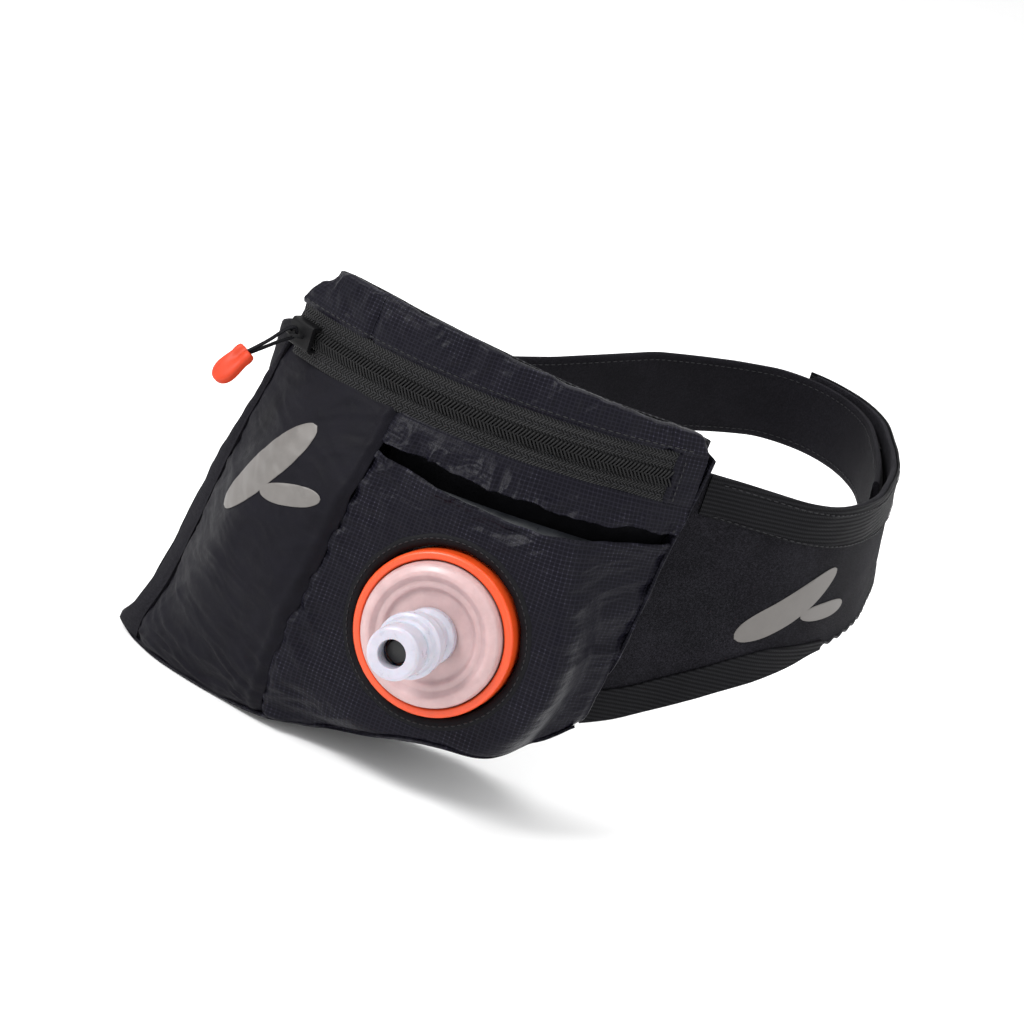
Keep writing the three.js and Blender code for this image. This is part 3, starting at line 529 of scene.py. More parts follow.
# ---- Materials ----
class Finish:
    """Small builder for one procedural material."""

    def __init__(self, name, colour, roughness, **shader):
        self.material = bpy.data.materials.new(name)
        self.material.use_nodes = True
        self.tree = self.material.node_tree
        self.shader = self.tree.nodes["Principled BSDF"]
        self.shader.inputs["Base Color"].default_value = (*colour, 1)
        self.shader.inputs["Roughness"].default_value = roughness
        for socket, value in shader.items():
            self.shader.inputs[socket.replace("_", " ")].default_value = value
        self.height = None

    def node(self, kind, *values, **named):
        """New node with its first inputs, and those named, set to a value or wired to a socket."""
        made = self.tree.nodes.new(kind)
        for key, value in [*enumerate(values), *named.items()]:
            if isinstance(value, bpy.types.NodeSocket):
                self.tree.links.new(value, made.inputs[key])
            else:
                made.inputs[key].default_value = value
        return made

    def wire(self, value, socket):
        self.tree.links.new(value, self.shader.inputs[socket])

    def math(self, operation, a, b=0.0):
        made = self.node("ShaderNodeMath", a, b)
        made.operation = operation
        return made.outputs[0]

    def plus(self, a, b):
        return self.math("ADD", a, b)

    def times(self, a, b):
        return self.math("MULTIPLY", a, b)

    def cloth(self, pitch_u, pitch_v):
        """Cloth coordinates, in threads of the given pitches in mm."""
        place = self.tree.nodes.new("ShaderNodeUVMap")
        place.uv_map = "cloth"
        u, v, _ = self.node("ShaderNodeSeparateXYZ", place.outputs[0]).outputs
        return self.times(u, 1 / pitch_u), self.times(v, 1 / pitch_v)

    def noise(self, scale, detail=3.0, rough=0.55):
        """Noise over the object's own coordinates, in metres."""
        solid = self.tree.nodes.new("ShaderNodeTexCoord").outputs["Object"]
        made = self.node("ShaderNodeTexNoise", Vector=solid, Scale=scale, Detail=detail, Roughness=rough)
        return made.outputs["Fac"]

    def range(self, value, low, high, to_low=0.0, to_high=1.0):
        return self.node("ShaderNodeMapRange", value, low, high, to_low, to_high).outputs[0]

    def stripe(self, u, width):
        """1 on a line of a given share of each period, 0 elsewhere, with soft sides."""
        part = self.math("ABSOLUTE", self.math("SUBTRACT", self.math("FRACT", u), 0.5))
        return self.range(part, 0.5 - width, 0.5)

    def wave(self, u):
        return self.math("SINE", self.times(u, 2 * math.pi))

    def paint(self, factor, dark, light):
        made = self.tree.nodes.new("ShaderNodeMix")
        made.data_type = "RGBA"
        self.tree.links.new(factor, made.inputs["Factor"])
        colours = [socket for socket in made.inputs if socket.type == "RGBA"]
        for socket, colour in zip(colours, (dark, light)):
            socket.default_value = (*colour, 1)
        self.wire([socket for socket in made.outputs if socket.type == "RGBA"][0], "Base Color")

    def bump(self, height, strength, distance):
        made = self.node("ShaderNodeBump", Height=height, Strength=strength, Distance=distance)
        if self.height is not None:
            self.tree.links.new(self.height, made.inputs["Normal"])
        self.height = made.outputs[0]
        self.wire(self.height, "Normal")


def ripstop_cloth(name, colour, dot):
    """Thin crinkled ripstop: a grid of thicker threads, 1.5 by 1.25 mm, faintly lighter, with painted glints
    on the crossings in patches.
    """
    made = Finish(name, colour, 0.46, Specular_IOR_Level=0.08)
    u, v = made.cloth(1.5, 1.25)
    across, up = made.stripe(u, 0.2), made.stripe(v, 0.22)
    glint = made.range(made.noise(70.0), 0.42, 0.62, 0.12)
    grain = made.range(made.noise(900.0, 2.0), 0.35, 0.65, 0.2)
    thread = made.math("MAXIMUM", across, up)
    # Painted glint: the crossings are brightened in the base colour only in the patches of the glint noise.
    dots = made.times(made.times(across, up), made.times(glint, grain))
    made.paint(made.math("MAXIMUM", made.times(thread, 0.1), dots), colour, dot)
    made.wire(made.range(made.noise(95.0, 4.0, 0.6), 0.3, 0.7, 0.32, 0.5), "Roughness")
    made.bump(made.noise(160.0, 5.0, 0.62), 0.6, 0.0011)
    made.bump(thread, 0.2, 0.00006)
    return made.material


def plain_cloth(name, colour, light):
    """Fine plain weave."""
    made = Finish(name, colour, 0.52, Specular_IOR_Level=0.08)
    u, v = made.cloth(0.55, 0.55)
    weave = made.times(made.wave(u), made.wave(v))
    soft = made.noise(140.0, 4.0, 0.6)
    made.paint(made.range(made.plus(made.times(weave, 0.2), soft), 0.3, 0.9), colour, light)
    made.wire(made.range(soft, 0.3, 0.7, 0.5, 0.66), "Roughness")
    made.bump(made.noise(120.0, 4.0, 0.6), 0.4, 0.0009)
    made.bump(weave, 0.3, 0.00008)
    return made.material


def knit_cloth(name, colour, light):
    """Heathered stretch knit over foam: fine columns of loops with paler fibres."""
    made = Finish(name, colour, 0.85, Specular_IOR_Level=0.1)
    u, v = made.cloth(0.8, 0.7)
    column = made.wave(u)
    loops = made.times(column, made.wave(made.plus(v, made.times(column, 0.12))))
    fibre = made.noise(1500.0, 2.0, 0.7)
    mixed = made.plus(made.times(fibre, 0.75), made.times(made.noise(60.0), 0.25))
    made.paint(made.range(mixed, 0.42, 0.72), colour, light)
    made.bump(loops, 0.5, 0.00015)
    made.bump(fibre, 0.35, 0.00025)
    return made.material


def elastic_cloth(name, colour, light):
    """Ribbed elastic: cords along the tape, wound with fine thread."""
    made = Finish(name, colour, 0.62, Specular_IOR_Level=0.06)
    u, v = made.cloth(0.7, 1.55)
    thread, cord = made.wave(u), made.wave(v)
    made.paint(made.range(made.plus(cord, made.times(thread, 0.35)), -1.0, 1.3), colour, light)
    made.bump(cord, 0.5, 0.0004)
    made.bump(thread, 0.4, 0.0001)
    return made.material


def tape_cloth(name, colour, light):
    """Zip tape: close herringbone of slanted threads."""
    made = Finish(name, colour, 0.6, Specular_IOR_Level=0.2)
    u, v = made.cloth(1.2, 3.0)
    zigzag = made.math("PINGPONG", v, 0.5)
    slant = made.wave(made.plus(u, made.times(zigzag, 2.4)))
    made.paint(made.range(slant, -0.6, 1.0), colour, light)
    made.bump(slant, 1.0, 0.0005)
    return made.material


def mesh_cloth(name, colour, light):
    """Padded spacer mesh: rows of small round holes in a knitted face."""
    made = Finish(name, colour, 0.8, Specular_IOR_Level=0.25, Sheen_Weight=0.03)
    u, v = made.cloth(2.4, 2.4)
    holes = made.times(made.wave(made.plus(u, made.times(v, 0.5))), made.wave(v))
    made.paint(made.range(holes, -0.2, 0.5), colour, light)
    made.bump(made.range(holes, -0.1, 0.4), 0.7, 0.0005)
    made.bump(made.noise(1200.0, 2.0), 0.2, 0.0002)
    return made.material


def moulded(name, colour, roughness, **shader):
    """Moulded plastic or rubber with a faint grain and uneven gloss."""
    made = Finish(name, colour, roughness, **shader)
    cloud = made.noise(220.0, 4.0, 0.6)
    made.wire(made.range(cloud, 0.3, 0.7, max(0.05, roughness - 0.06), roughness + 0.08), "Roughness")
    dark, light = ([min(1, share * part) for part in colour] for share in (0.93, 1.05))
    made.paint(made.range(cloud, 0.35, 0.65), dark, light)
    made.bump(made.noise(1800.0, 3.0, 0.6), 0.15, 0.00006)
    return made.material


def soft_plastic(name, colour, roughness, share, reach, **shader):
    """Plastic that lets some light in, as far as `reach` metres."""
    return moulded(name, colour, roughness, Subsurface_Weight=share, Subsurface_Scale=reach, **shader)


def make_materials():
    return {
        # The ripstop's light colour tints its thread grid faintly and, at the crossings, is a painted glint
        # in patches.
        "ripstop": ripstop_cloth("ripstop", (0.0034, 0.0031, 0.0058), (0.06, 0.058, 0.084)),
        "lining": plain_cloth("lining", (0.005, 0.005, 0.006), (0.009, 0.009, 0.011)),
        "side": plain_cloth("side_cloth", (0.0034, 0.0031, 0.0052), (0.0072, 0.0067, 0.0102)),
        "knit": knit_cloth("knit", (0.0034, 0.0032, 0.0046), (0.019, 0.0182, 0.023)),
        "belt": knit_cloth("belt_inside", (0.0036, 0.0033, 0.0048), (0.0106, 0.0099, 0.0132)),
        "elastic": elastic_cloth("elastic", (0.0036, 0.0036, 0.0042), (0.0125, 0.0125, 0.0142)),
        "tape": tape_cloth("zip_tape", (0.0022, 0.0022, 0.0025), (0.034, 0.034, 0.036)),
        "mesh": mesh_cloth("back_mesh", (0.004, 0.004, 0.005), (0.03, 0.03, 0.034)),
        "coil": moulded("zip_coil", (0.0055, 0.0055, 0.006), 0.55, Specular_IOR_Level=0.22),
        "thread": moulded("thread", (0.009, 0.009, 0.011), 0.6, Specular_IOR_Level=0.3),
        "slider": moulded("slider_paint", (0.0035, 0.0035, 0.004), 0.5, Specular_IOR_Level=0.12),
        "cord": elastic_cloth("cord", (0.003, 0.003, 0.004), (0.011, 0.011, 0.013)),
        "grip": moulded("grip", (0.44, 0.034, 0.008), 0.5, Specular_IOR_Level=0.25),
        # The end strip's knit is lightened as painted light: the strip faces away from the lamps, so its
        # colours are raised above the other knits to look lit.
        "end": knit_cloth("end_cloth", (0.0055, 0.0052, 0.007), (0.0145, 0.0137, 0.0178)),
        "hook": knit_cloth("hook_loop", (0.005, 0.005, 0.0055), (0.014, 0.014, 0.015)),
        "film": moulded("flask_film", (0.016, 0.018, 0.022), 0.3),
        "ring": soft_plastic("ring_plastic", (0.64, 0.06, 0.008), 0.36, 0.1, 0.003),
        "cap": soft_plastic("cap_plastic", (0.44, 0.305, 0.305), 0.36, 0.5, 0.006,
                            Subsurface_Radius=(1.0, 0.6, 0.55)),
        "valve": soft_plastic("valve_plastic", (0.40, 0.39, 0.45), 0.3, 0.3, 0.003),
        "core": moulded("core_plastic", (0.004, 0.004, 0.005), 0.4),
        "mark": moulded("reflective", (0.12, 0.112, 0.106), 0.5, Metallic=0.2),
    }


def make_floor():
    finish = Finish("floor", (0.94, 0.94, 0.94), 0.8)
    finish.paint(finish.range(finish.noise(4.0), 0.3, 0.7), (0.93, 0.93, 0.93), (0.95, 0.95, 0.95))
    mesh = bpy.data.meshes.new("floor")
    mesh.from_pydata([(6 * x, 6 * y, 0) for x, y in ((-1, -1), (1, -1), (1, 1), (-1, 1))], [], [(0, 1, 2, 3)])
    mesh.materials.append(finish.material)
    floor = bpy.data.objects.new("floor", mesh)
    floor.location.z = -0.0005
    bpy.context.collection.objects.link(floor)


def add_light(name, place, aim, size, power):
    """Soft rectangle of light; places and sizes in metres, power in watts."""
    data = bpy.data.lights.new(name, "AREA")
    data.shape = "RECTANGLE"
    data.size, data.size_y = size
    data.energy = power
    light = bpy.data.objects.new(name, data)
    light.location = place
    light.rotation_euler = (Vector(aim) - Vector(place)).to_track_quat("-Z", "Y").to_euler()
    bpy.context.collection.objects.link(light)


def add_lights():
    add_light("key", (-0.8, -1.0, 1.3), (0, -0.05, 0.06), (0.6, 0.6), 28)
    add_light("fill", (1.3, -0.6, 0.7), (0, 0, 0.06), (0.9, 0.9), 4)
    add_light("top", (0.1, 0.5, 1.5), (0, 0, 0.06), (1.2, 0.8), 12)
    world = bpy.data.worlds.new("studio")
    world.use_nodes = True
    world.node_tree.nodes["Background"].inputs[0].default_value = (1, 1, 1, 1)
    world.node_tree.nodes["Background"].inputs[1].default_value = 1.0
    bpy.context.scene.world = world


# ---- Folds in the cloth ----
SEAM_DIP = 1.1
COLLAR_LEAN = 2.4
SEAM_WIDE = 1.6


def seam_angle(z):
    """Angle of the slightly wavy seam between the side panel and the pocket."""
    return at(PANEL_SEAM, z, 6) + 0.3 * gradient_noise(z / 13, 0.5, 41)


def left_angle(z):
    """Angle of the wavy seam at the pack's left end."""
    return at(LEFT_EDGE, z, 6) + 0.25 * gradient_noise(z / 12, 3.5, 42)


def strip_angle(z):
    """Angle of the seam between the side panel and the smooth strip that wraps the pack's left end."""
    return left_angle(z) + 3.3 * smooth((112 - z) / 90)


def dip(distance):
    """Depth of the furrow that sewing leaves, by distance from the seam."""
    return -SEAM_DIP * np.exp(-(distance / SEAM_WIDE) ** 2)


def pucker(distance, along, seed, pitch=5.0, reach=7.0):
    """Small gathers beside a seam, fading away from it."""
    return np.exp(-np.abs(distance) / reach) * gradient_noise(along / pitch, distance / 25, seed)


def mm_round(angle):
    """Length along the pack's arc."""
    return np.radians(angle) * ARC_R


def side_folds(angle, z):
    x = mm_round(angle)
    to_left, to_seam = mm_round(angle - strip_angle(z)), mm_round(seam_angle(z) - angle)
    depth = 0.8 * creases(x, z, 11, 38, 15, 24) + 0.35 * creases(x, z, 12, 20, 7, -18)
    depth += 0.7 * pucker(to_left, z, 13, 8) + 0.5 * pucker(to_seam, z, 14, 7)
    depth += 0.6 * np.exp(-((to_seam - 3.2) / 1.6) ** 2)
    low = smooth((34 - z) / 20)
    depth += low * 1.2 * creases(x, z, 15, 30, 9, -12)
    depth += dip(to_left) + dip(to_seam) + dip(z - front_bottom(angle) - 1) + 0.8 * dip(ZIP_BOTTOM - z)
    return depth


def pocket_folds(angle, z):
    x = mm_round(angle)
    to_seam, to_right = mm_round(angle - seam_angle(z)), mm_round(right_angle(z) - angle)
    away = from_cap(polar(angle, front_depth(angle, z), z))
    calm = smooth((away - 35) / 16)
    depth = 1.2 * creases(x, z, 21, 48, 12, 16) + 0.45 * creases(x, z, 22, 20, 6, 8)
    depth += 2.0 * np.exp(-to_seam / 22) * creases(x, z, 23, 34, 11, -38)
    depth += 0.9 * pucker(to_right, z, 24, 9, 12)
    ring = np.arctan2(z - CAP_CENTRE[2], x - mm_round(15.5))
    gather = np.exp(-((away - 38) / 6) ** 2) * 0.35 * gradient_noise(ring * 9, away / 12, 25)
    depth = depth * calm + gather
    under_mouth = np.exp(-((mouth_height(angle) - z) / 9) ** 2)
    depth += 1.6 * under_mouth * creases(x, z, 26, 26, 9, 20)
    return depth + dip(to_seam) + dip(to_right) + 1.2 * dip(z - front_bottom(angle))


def band_folds(angle, z):
    x = mm_round(angle)
    hang = smooth((ZIP_BOTTOM - z) / 9)
    depth = hang * (2.4 * creases(x, z, 31, 17, 13, 62) + 1.1 * creases(x, z, 32, 12, 6, 10) + 1.2)
    return depth + dip(mm_round(angle - seam_angle(z))) + 0.8 * dip(ZIP_BOTTOM - z)


# ---- Cloth pieces ----
def cloth_panel(left, right, bottom, top, across, up):
    """Angles, heights and height shares of a grid between four edges that depend on each other."""
    u, v = grid(across, up)
    middle = np.full_like(u, ZIP_BOTTOM / 2)
    guess = mix(left(middle), right(middle), u)
    z = mix(bottom(guess), top(guess), v)
    angle = mix(left(z), right(z), u)
    return angle, mix(bottom(angle), top(angle), v), v


def by_seam(z):
    return seam_angle(z) + 0.05


def by_right_end(z):
    return right_angle(z) + 0.1


def hem(angle):
    return front_bottom(angle) + 0.6


def under_zip(angle):
    return np.full_like(angle, ZIP_BOTTOM + 0.2)


def add_side_panel(m):
    angle, z, _ = cloth_panel(lambda z: strip_angle(z) - 0.1, lambda z: seam_angle(z) - 0.05, hem, under_zip,
                              110, 190)
    depth = front_depth(angle, z) + side_folds(angle, z)
    sheet("side_panel_cloth", "side_panel", m["side"], angle, depth, z, 1.1)


def add_pocket_panel(m):
    """Pocket cloth with its round hole. The grid's points nearest the hole are moved onto its edge."""
    up = 200
    angle, z, v = cloth_panel(by_seam, by_right_end, hem, mouth_height, 230, up)
    depth = front_depth(angle, z) + pocket_folds(angle, z) + 0.5 * smooth(((v - 1) * up + 5) / 2)
    outer, inner = polar(angle, depth, z), polar(angle, depth - 1.2, z)
    away = from_cap(outer)
    snap = np.abs(away - HOLE_EDGE) < 0.34
    for layer in (outer, inner):
        offset = layer - CAP_CENTRE
        along = (offset @ CAP_AXIS)[..., None] * CAP_AXIS
        ratio = np.where(snap, HOLE_EDGE / np.maximum(from_cap(layer), 1e-6), 1.0)[..., None]
        layer[:] = CAP_CENTRE + along + (offset - along) * ratio
    beyond = from_cap(outer) > HOLE_EDGE - 0.05
    keep = beyond[:-1, :-1] & beyond[:-1, 1:] & beyond[1:, 1:] & beyond[1:, :-1]
    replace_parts(shell("pocket_cloth", outer, inner, m["ripstop"], keep=keep), "pocket_panel")


def add_hole_binding(m):
    wave = 0.12 * np.sin(once_round(240) * 17)
    section = [(29.4, -6.4), (29.6, -5.6), (30.4, -5.0), (31.9, -4.5), (33.3, -4.6), (33.9, -5.4),
               (33.8, -6.3), (31.5, -6.7)]
    rings = np.stack([cap_ring_points(r + wave, a) for r, a in section], axis=1)
    turn = np.linspace(0, 2 * math.pi * 34, 240)
    uv = pairs(turn[:, None], np.arange(len(section))[None] * 1.3)
    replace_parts(loft("hole_binding_cloth", rings, m["lining"], uv, closed=True), "hole_binding")
    route = cap_ring_points(32.1, -4.5, 300)
    stitches("hole_stitches", np.vstack([route, route[:1]]), CAP_AXIS, m["thread"], pitch=2.3, long=1.5)


def band_lip(angle):
    """Height of the upper band's loose lower edge."""
    along = np.clip((angle - at(PANEL_SEAM, LIP_Z)) / 42, 0, 1)
    wave = np.clip(gradient_noise(mm_round(angle) / 12, 0.3, 51), -0.6, 1)
    return LIP_Z - 1.6 * wave - 1.2 * np.sin(math.pi * along)


def add_upper_band(m):
    angle, z, _ = cloth_panel(by_seam, by_right_end, band_lip, under_zip, 200, 30)
    depth = front_depth(angle, z) + 0.6 + band_folds(angle, z)
    sheet("upper_band_cloth", "upper_band", m["ripstop"], angle, depth, z, 1.1)


def gusset_height(angle, share):
    return mix(front_bottom(angle), at(BACK_BOTTOM, angle, 1.5), np.minimum(1, share / GUSSET_SLOPES))


def add_bottom_gusset(m):
    u, v = grid(130, 26)
    angle = mix(at(LEFT_EDGE, 0) - 0.1, at(RIGHT_EDGE, 0) + 0.4, u)
    front = front_depth(angle, at(FRONT_BOTTOM, angle)) - 0.4
    back = back_depth(angle, at(BACK_BOTTOM, angle))
    x = mm_round(angle)
    height = gusset_height(angle, v)
    sag = 0.35 * creases(x, v * 25, 61, 22, 10, 80) * np.sin(math.pi * v) * (height > GROUND + 2)
    depth = mix(front, back, v)
    z = np.maximum(height + sag, GROUND)
    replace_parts(shell("bottom_cloth", polar(angle, depth, z), polar(angle, depth, z + 1.3), m["ripstop"]),
                "bottom_gusset")


END_ACROSS = 16


def add_left_end(m):
    """Smooth strip that wraps a little round the front, then runs back along the pack's end."""
    u, v = grid(END_ACROSS, 150)
    z = mix(GROUND + 1.6, 139.0, v)
    below_zip = smooth((116 - z) / 14)
    wave = 0.9 * gradient_noise(z / 13, 1.2, 71) + 0.5 * gradient_noise(z / 6, 2.2, 72)
    corner = 1.2 + below_zip * (1.6 + wave) * (1 - smooth((52 - z) / 22)) + 5.0 * smooth((7 - z) / 12)
    swell = corner + (1.4 + 0.5 * wave) * np.sin(math.pi * u) ** 0.8 * smooth(v * 12) * smooth((1 - v) * 10)
    depth = mix(at(LEFT_EDGE_DEPTH, z, 8) - 0.9, at(BACK_EDGE_DEPTH, z, 6), u ** 1.2)
    end_outer = polar(left_angle(z) - 0.15 - arc_angle(swell), depth, z)
    end_inner = polar(left_angle(z) - 0.05, depth - 0.6 * (1 - u), z)
    u, v = grid(END_ACROSS - 4, 150)
    z = end_outer[:, :1, 2]
    angle = mix(strip_angle(z) + 0.15, left_angle(z) - arc_angle(corner[:, :1]), u)
    face = front_depth(angle, z) + 0.5 * np.sin(math.pi * u) + 0.35 * dip(mm_round(strip_angle(z) - angle))
    face = face - 1.6 * smooth((u - 0.75) / 0.25) ** 2
    front_outer, front_inner = polar(angle, face, z), polar(angle, face - 1.2, z)
    outer = np.concatenate([front_outer, end_outer], axis=1)
    inner = np.concatenate([front_inner, end_inner], axis=1)
    tip = np.clip(np.concatenate([u, np.ones_like(end_outer[..., 2])], axis=1), 0, 1) ** 3
    for layer in (outer, inner):
        layer[..., 2] += 1.5 * tip * (1 - smooth((layer[..., 2] - GROUND) / 8))
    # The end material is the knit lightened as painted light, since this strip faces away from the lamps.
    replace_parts(shell("left_end_cloth", outer, inner, m["end"]), "left_end_panel")


def add_right_end(m):
    u, v = grid(END_ACROSS, 150)
    z = mix(23.5, 136.0, v)
    depth = mix(at(RIGHT_END_DEPTH, z, 3) - 0.3, at(BACK_EDGE_DEPTH, z, 6), u)
    wave = 0.25 * gradient_noise(z / 9, u * 2, 73)
    edge = by_right_end(z)
    outer, inner = polar(edge + arc_angle(1.2 + wave), depth, z), polar(edge, depth, z)
    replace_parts(shell("right_end_cloth", outer, inner, m["ripstop"]), "right_end_panel")


def collar_lean(z):
    """How far the collar's left end leans inward, in degrees."""
    return COLLAR_LEAN * smooth((z - ZIP_TOP) / 14)


def add_back_panel(m):
    """Padded mesh: a crowned slab, quilted by two upright channels."""
    angle, z, _ = cloth_panel(
        lambda z: left_angle(z) + 0.1 + collar_lean(z), lambda z: right_angle(z) - 0.1,
        lambda a: at(BACK_BOTTOM, a, 1.5) + 1.9, lambda a: at(TOP_EDGE, a, 2) - 1, 120, 130)
    rim = np.minimum.reduce([mm_round(angle - left_angle(z)), mm_round(right_angle(z) - angle),
                             z - at(BACK_BOTTOM, angle) - 1, at(TOP_EDGE, angle) - z])
    channel = np.exp(-(mm_round(np.abs(angle - 6) - 11) / 1.8) ** 2) * smooth((rim - 8) / 6)
    crown = 0.9 + 3.1 * smooth(rim / 9) - 1.5 * channel
    crown += 0.18 * creases(mm_round(angle), z, 81, 30, 14, 30)
    front = back_depth(angle, z) + 4.0
    foam = shell("back_pad", polar(angle, front - crown, z), polar(angle, front, z), m["mesh"])
    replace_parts(foam, "back_panel")


def add_divider(m):
    u, v = grid(40, 40)
    z = mix(4.0, ZIP_BOTTOM - 0.5, v)
    angle = mix(seam_angle(z) + 0.2, at(RIGHT_EDGE, z, 6) - 0.2, u)
    z = np.maximum(z, gusset_height(angle, 0.35) + 2.5)
    depth = divider_depth(angle, z) + 0.25 * creases(mm_round(angle), z, 91, 30, 12, 20)
    sheet("divider_cloth", "divider", m["lining"], angle, depth, z, 1.0)


COLLAR_SEAM = -9.0
COLLAR_END = 41.2


def collar_rings(start, end, sections, rounded_end=False):
    """Closed sections of the band above the zip: up the front, over a soft top, down the back."""
    u = np.linspace(0, 1, sections)[:, None]
    angle = mix(start, end, u)
    x = mm_round(angle)
    lump = 1.1 * gradient_noise(x / 15, 0.7, 95) + 0.7 * gradient_noise(x / 6.5, 1.7, 96)
    top = np.maximum(at(TOP_EDGE, angle, 1.5), ZIP_TOP + 2) - 0.5 + 0.6 * lump
    if rounded_end:
        top = ZIP_TOP + (top - ZIP_TOP) * np.sqrt(np.clip((end + 0.15 - angle) / 1.3, 0.04, 1))
    else:
        top = ZIP_TOP + (top - ZIP_TOP) * (1 - 0.28 * (1 - smooth((angle - start) / 2.6)))
    low = ZIP_TOP + 0.2
    rise = np.concatenate([np.linspace(0, 0.9, 14), np.full(7, 0.9), np.linspace(0.9, 0, 10)])[None]
    over = np.concatenate([np.zeros(14), np.linspace(0, math.pi, 9)[1:-1], np.full(10, math.pi)])[None]
    z = mix(low, top, rise) + (top - low) * 0.1 * np.sin(over)
    gather = smooth(rise / 0.5)
    gathers = 1.25 * creases(x, z, 97, 15, 11, 78) + 0.6 * creases(x, z, 98, 9, 5, 30)
    front = mix(0.7, -2.2, rise ** 2) + gather * gathers
    front = front + 0.5 * np.exp(-((z - ZIP_TOP - 2.0) / 1.2) ** 2) + dip(z - ZIP_TOP) * 0.7
    back = np.minimum(back_depth(angle, z) + 4.4, front - 1.2)
    depth = mix(front, back, (1 - np.cos(over)) / 2)
    depth = depth + 1.0 * dip(mm_round(angle - COLLAR_SEAM)) + 0.9 * dip(mm_round(angle - 35.5))
    if not rounded_end:
        angle = angle + collar_lean(z) * (1 - smooth((angle - start) / 8))
    points = polar(np.broadcast_to(angle, z.shape), depth, z)
    return points, pairs(x, z)


def add_collar(m):
    rings, uv = collar_rings(at(LEFT_EDGE, ZIP_TOP) + 0.1, COLLAR_SEAM - 0.05, 60)
    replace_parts(loft("collar_left_cloth", rings, m["ripstop"], uv), "collar_left")
    rings, uv = collar_rings(COLLAR_SEAM + 0.05, COLLAR_END, 190, rounded_end=True)
    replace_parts(loft("collar_right_cloth", rings, m["ripstop"], uv), "collar_right")


# ---- Zip ----
ZIP_MIDDLE_GAP = 0.35
TOOTH_PITCH = 1.35


def add_zip_tapes(m):
    for name, low, high in (("upper", ZIP_MIDDLE + ZIP_MIDDLE_GAP, ZIP_TOP + 0.3),
                            ("lower", ZIP_BOTTOM - 0.1, ZIP_MIDDLE - ZIP_MIDDLE_GAP)):
        u, v = grid(160, 12)
        angle, z = mix(ZIP_LEFT - 0.4, ZIP_RIGHT, u), mix(low, high, v)
        inward = (z - low) / (high - low) if name == "upper" else (high - z) / (high - low)
        depth = -0.1 + 0.35 * gradient_noise(mm_round(angle) / 17, inward * 2, 101) * inward
        sheet(f"zip_tape_{name}_weave", f"zip_tape_{name}", m["tape"], angle, depth, z, 0.8)


def add_zip_coils(m):
    """Each side of the coil is a row of bent loops, half a pitch out of step with the other."""
    loop = [(-0.55, 0.45, 0.0, 0.4), (0.3, 0.7, 0.5, 0.46), (1.4, 0.75, 1.2, 0.46), (2.5, 0.65, 1.9, 0.44),
            (3.1, 0.3, 2.2, 0.34)]
    rise, stand, lean, fat = np.array(loop).T[..., None]
    turn = np.arange(6) * math.pi / 3
    count = int(mm_round(ZIP_RIGHT - ZIP_LEFT - 1.2) / TOOTH_PITCH)
    for name, side, shift in (("upper", 1, 0.0), ("lower", -1, 0.5)):
        place = (np.arange(count)[:, None, None] + shift) * TOOTH_PITCH
        angle = ZIP_LEFT + 1.0 + arc_angle(place) + arc_angle(lean + fat * np.cos(turn))
        rings = polar(angle, stand + fat * np.sin(turn), ZIP_MIDDLE + side * rise)
        uv = pairs(place - shift * TOOTH_PITCH, np.broadcast_to(rise, rings.shape[:-1]))
        teeth = beads(f"zip_teeth_{name}", rings, m["coil"], uv.reshape(-1, 2))
        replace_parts(teeth, f"zip_coil_{name}")


def zip_line(z, depth, start, end, count=260):
    angle = np.linspace(start, end, count)
    return polar(angle, depth, z), polar(angle, depth + 1, z) - polar(angle, depth, z)


def add_zip_trim(m):
    u, v = grid(24, 40)
    angle, z = mix(ZIP_RIGHT + 0.05, COLLAR_END - 0.1, u), mix(ZIP_BOTTOM + 0.1, ZIP_TOP + 0.1, v)
    fold = np.exp(-((mm_round(angle - ZIP_RIGHT) - 0.9) / 0.9) ** 2)
    depth = 0.5 + 0.5 * fold + 0.3 * creases(mm_round(angle), z, 111, 12, 7, 20)
    depth += 0.4 * dip(ZIP_TOP - z) + 0.4 * dip(z - ZIP_BOTTOM)
    sheet("zip_end_cloth", "zip_end_tab", m["ripstop"], angle, depth, z, 1.6)
    collar = ZIP_TOP + 2.3
    for name, height, depth, start, end in (
            ("collar", collar, 1.0, at(LEFT_EDGE, collar) + 0.8, COLLAR_END - 1.5),
            ("tape_upper", ZIP_TOP - 3.4, 0.05, ZIP_LEFT + 1.5, ZIP_RIGHT - 0.3),
            ("tape_lower", ZIP_BOTTOM + 2.6, 0.05, ZIP_LEFT + 1.5, ZIP_RIGHT - 0.3)):
        route, out = zip_line(height, depth, start, end)
        stitches(f"stitches_{name}", route, out, m["thread"])
    z = np.linspace(ZIP_BOTTOM + 1, ZIP_TOP - 1, 30)
    route, above = (polar(ZIP_RIGHT + 1.1, depth, z) for depth in (1.0, 2.0))
    stitches("stitches_zip_end", route, above - route, m["thread"], pitch=2.2, long=1.5)


# ---- Puller ----
def by_slider(along, outward, up):
    """Point given in the slider's own directions: along the zip, outwards and up."""
    turn = math.radians(SLIDER_ANGLE)
    ahead = np.array([math.cos(turn), math.sin(turn), 0])
    return polar(SLIDER_ANGLE, 4.5 + outward, ZIP_MIDDLE + up) + along * ahead


CORD_THICK = 1.3
# In the slider's own directions, as in `by_slider`.
CORD_ROUTE = [(-9.9, 14, -12.2), (-6.5, 10, -8.2), (-2.2, 4.6, -2.9), (-0.9, 1.9, -1.3), (-0.6, 1.2, 0.4),
              (-0.9, 2.2, 2.3), (-1.4, 4.9, 1.6), (-4.4, 9.4, -4.2), (-8.7, 14.2, -10.6)]


def add_puller(m):
    route = spline([by_slider(*p) for p in CORD_ROUTE], 10)
    grip = add_grip(m)
    cord = tube("puller_line", route, CORD_THICK / 2, m["cord"], 10, "puller")
    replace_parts(cord, "puller_cord")


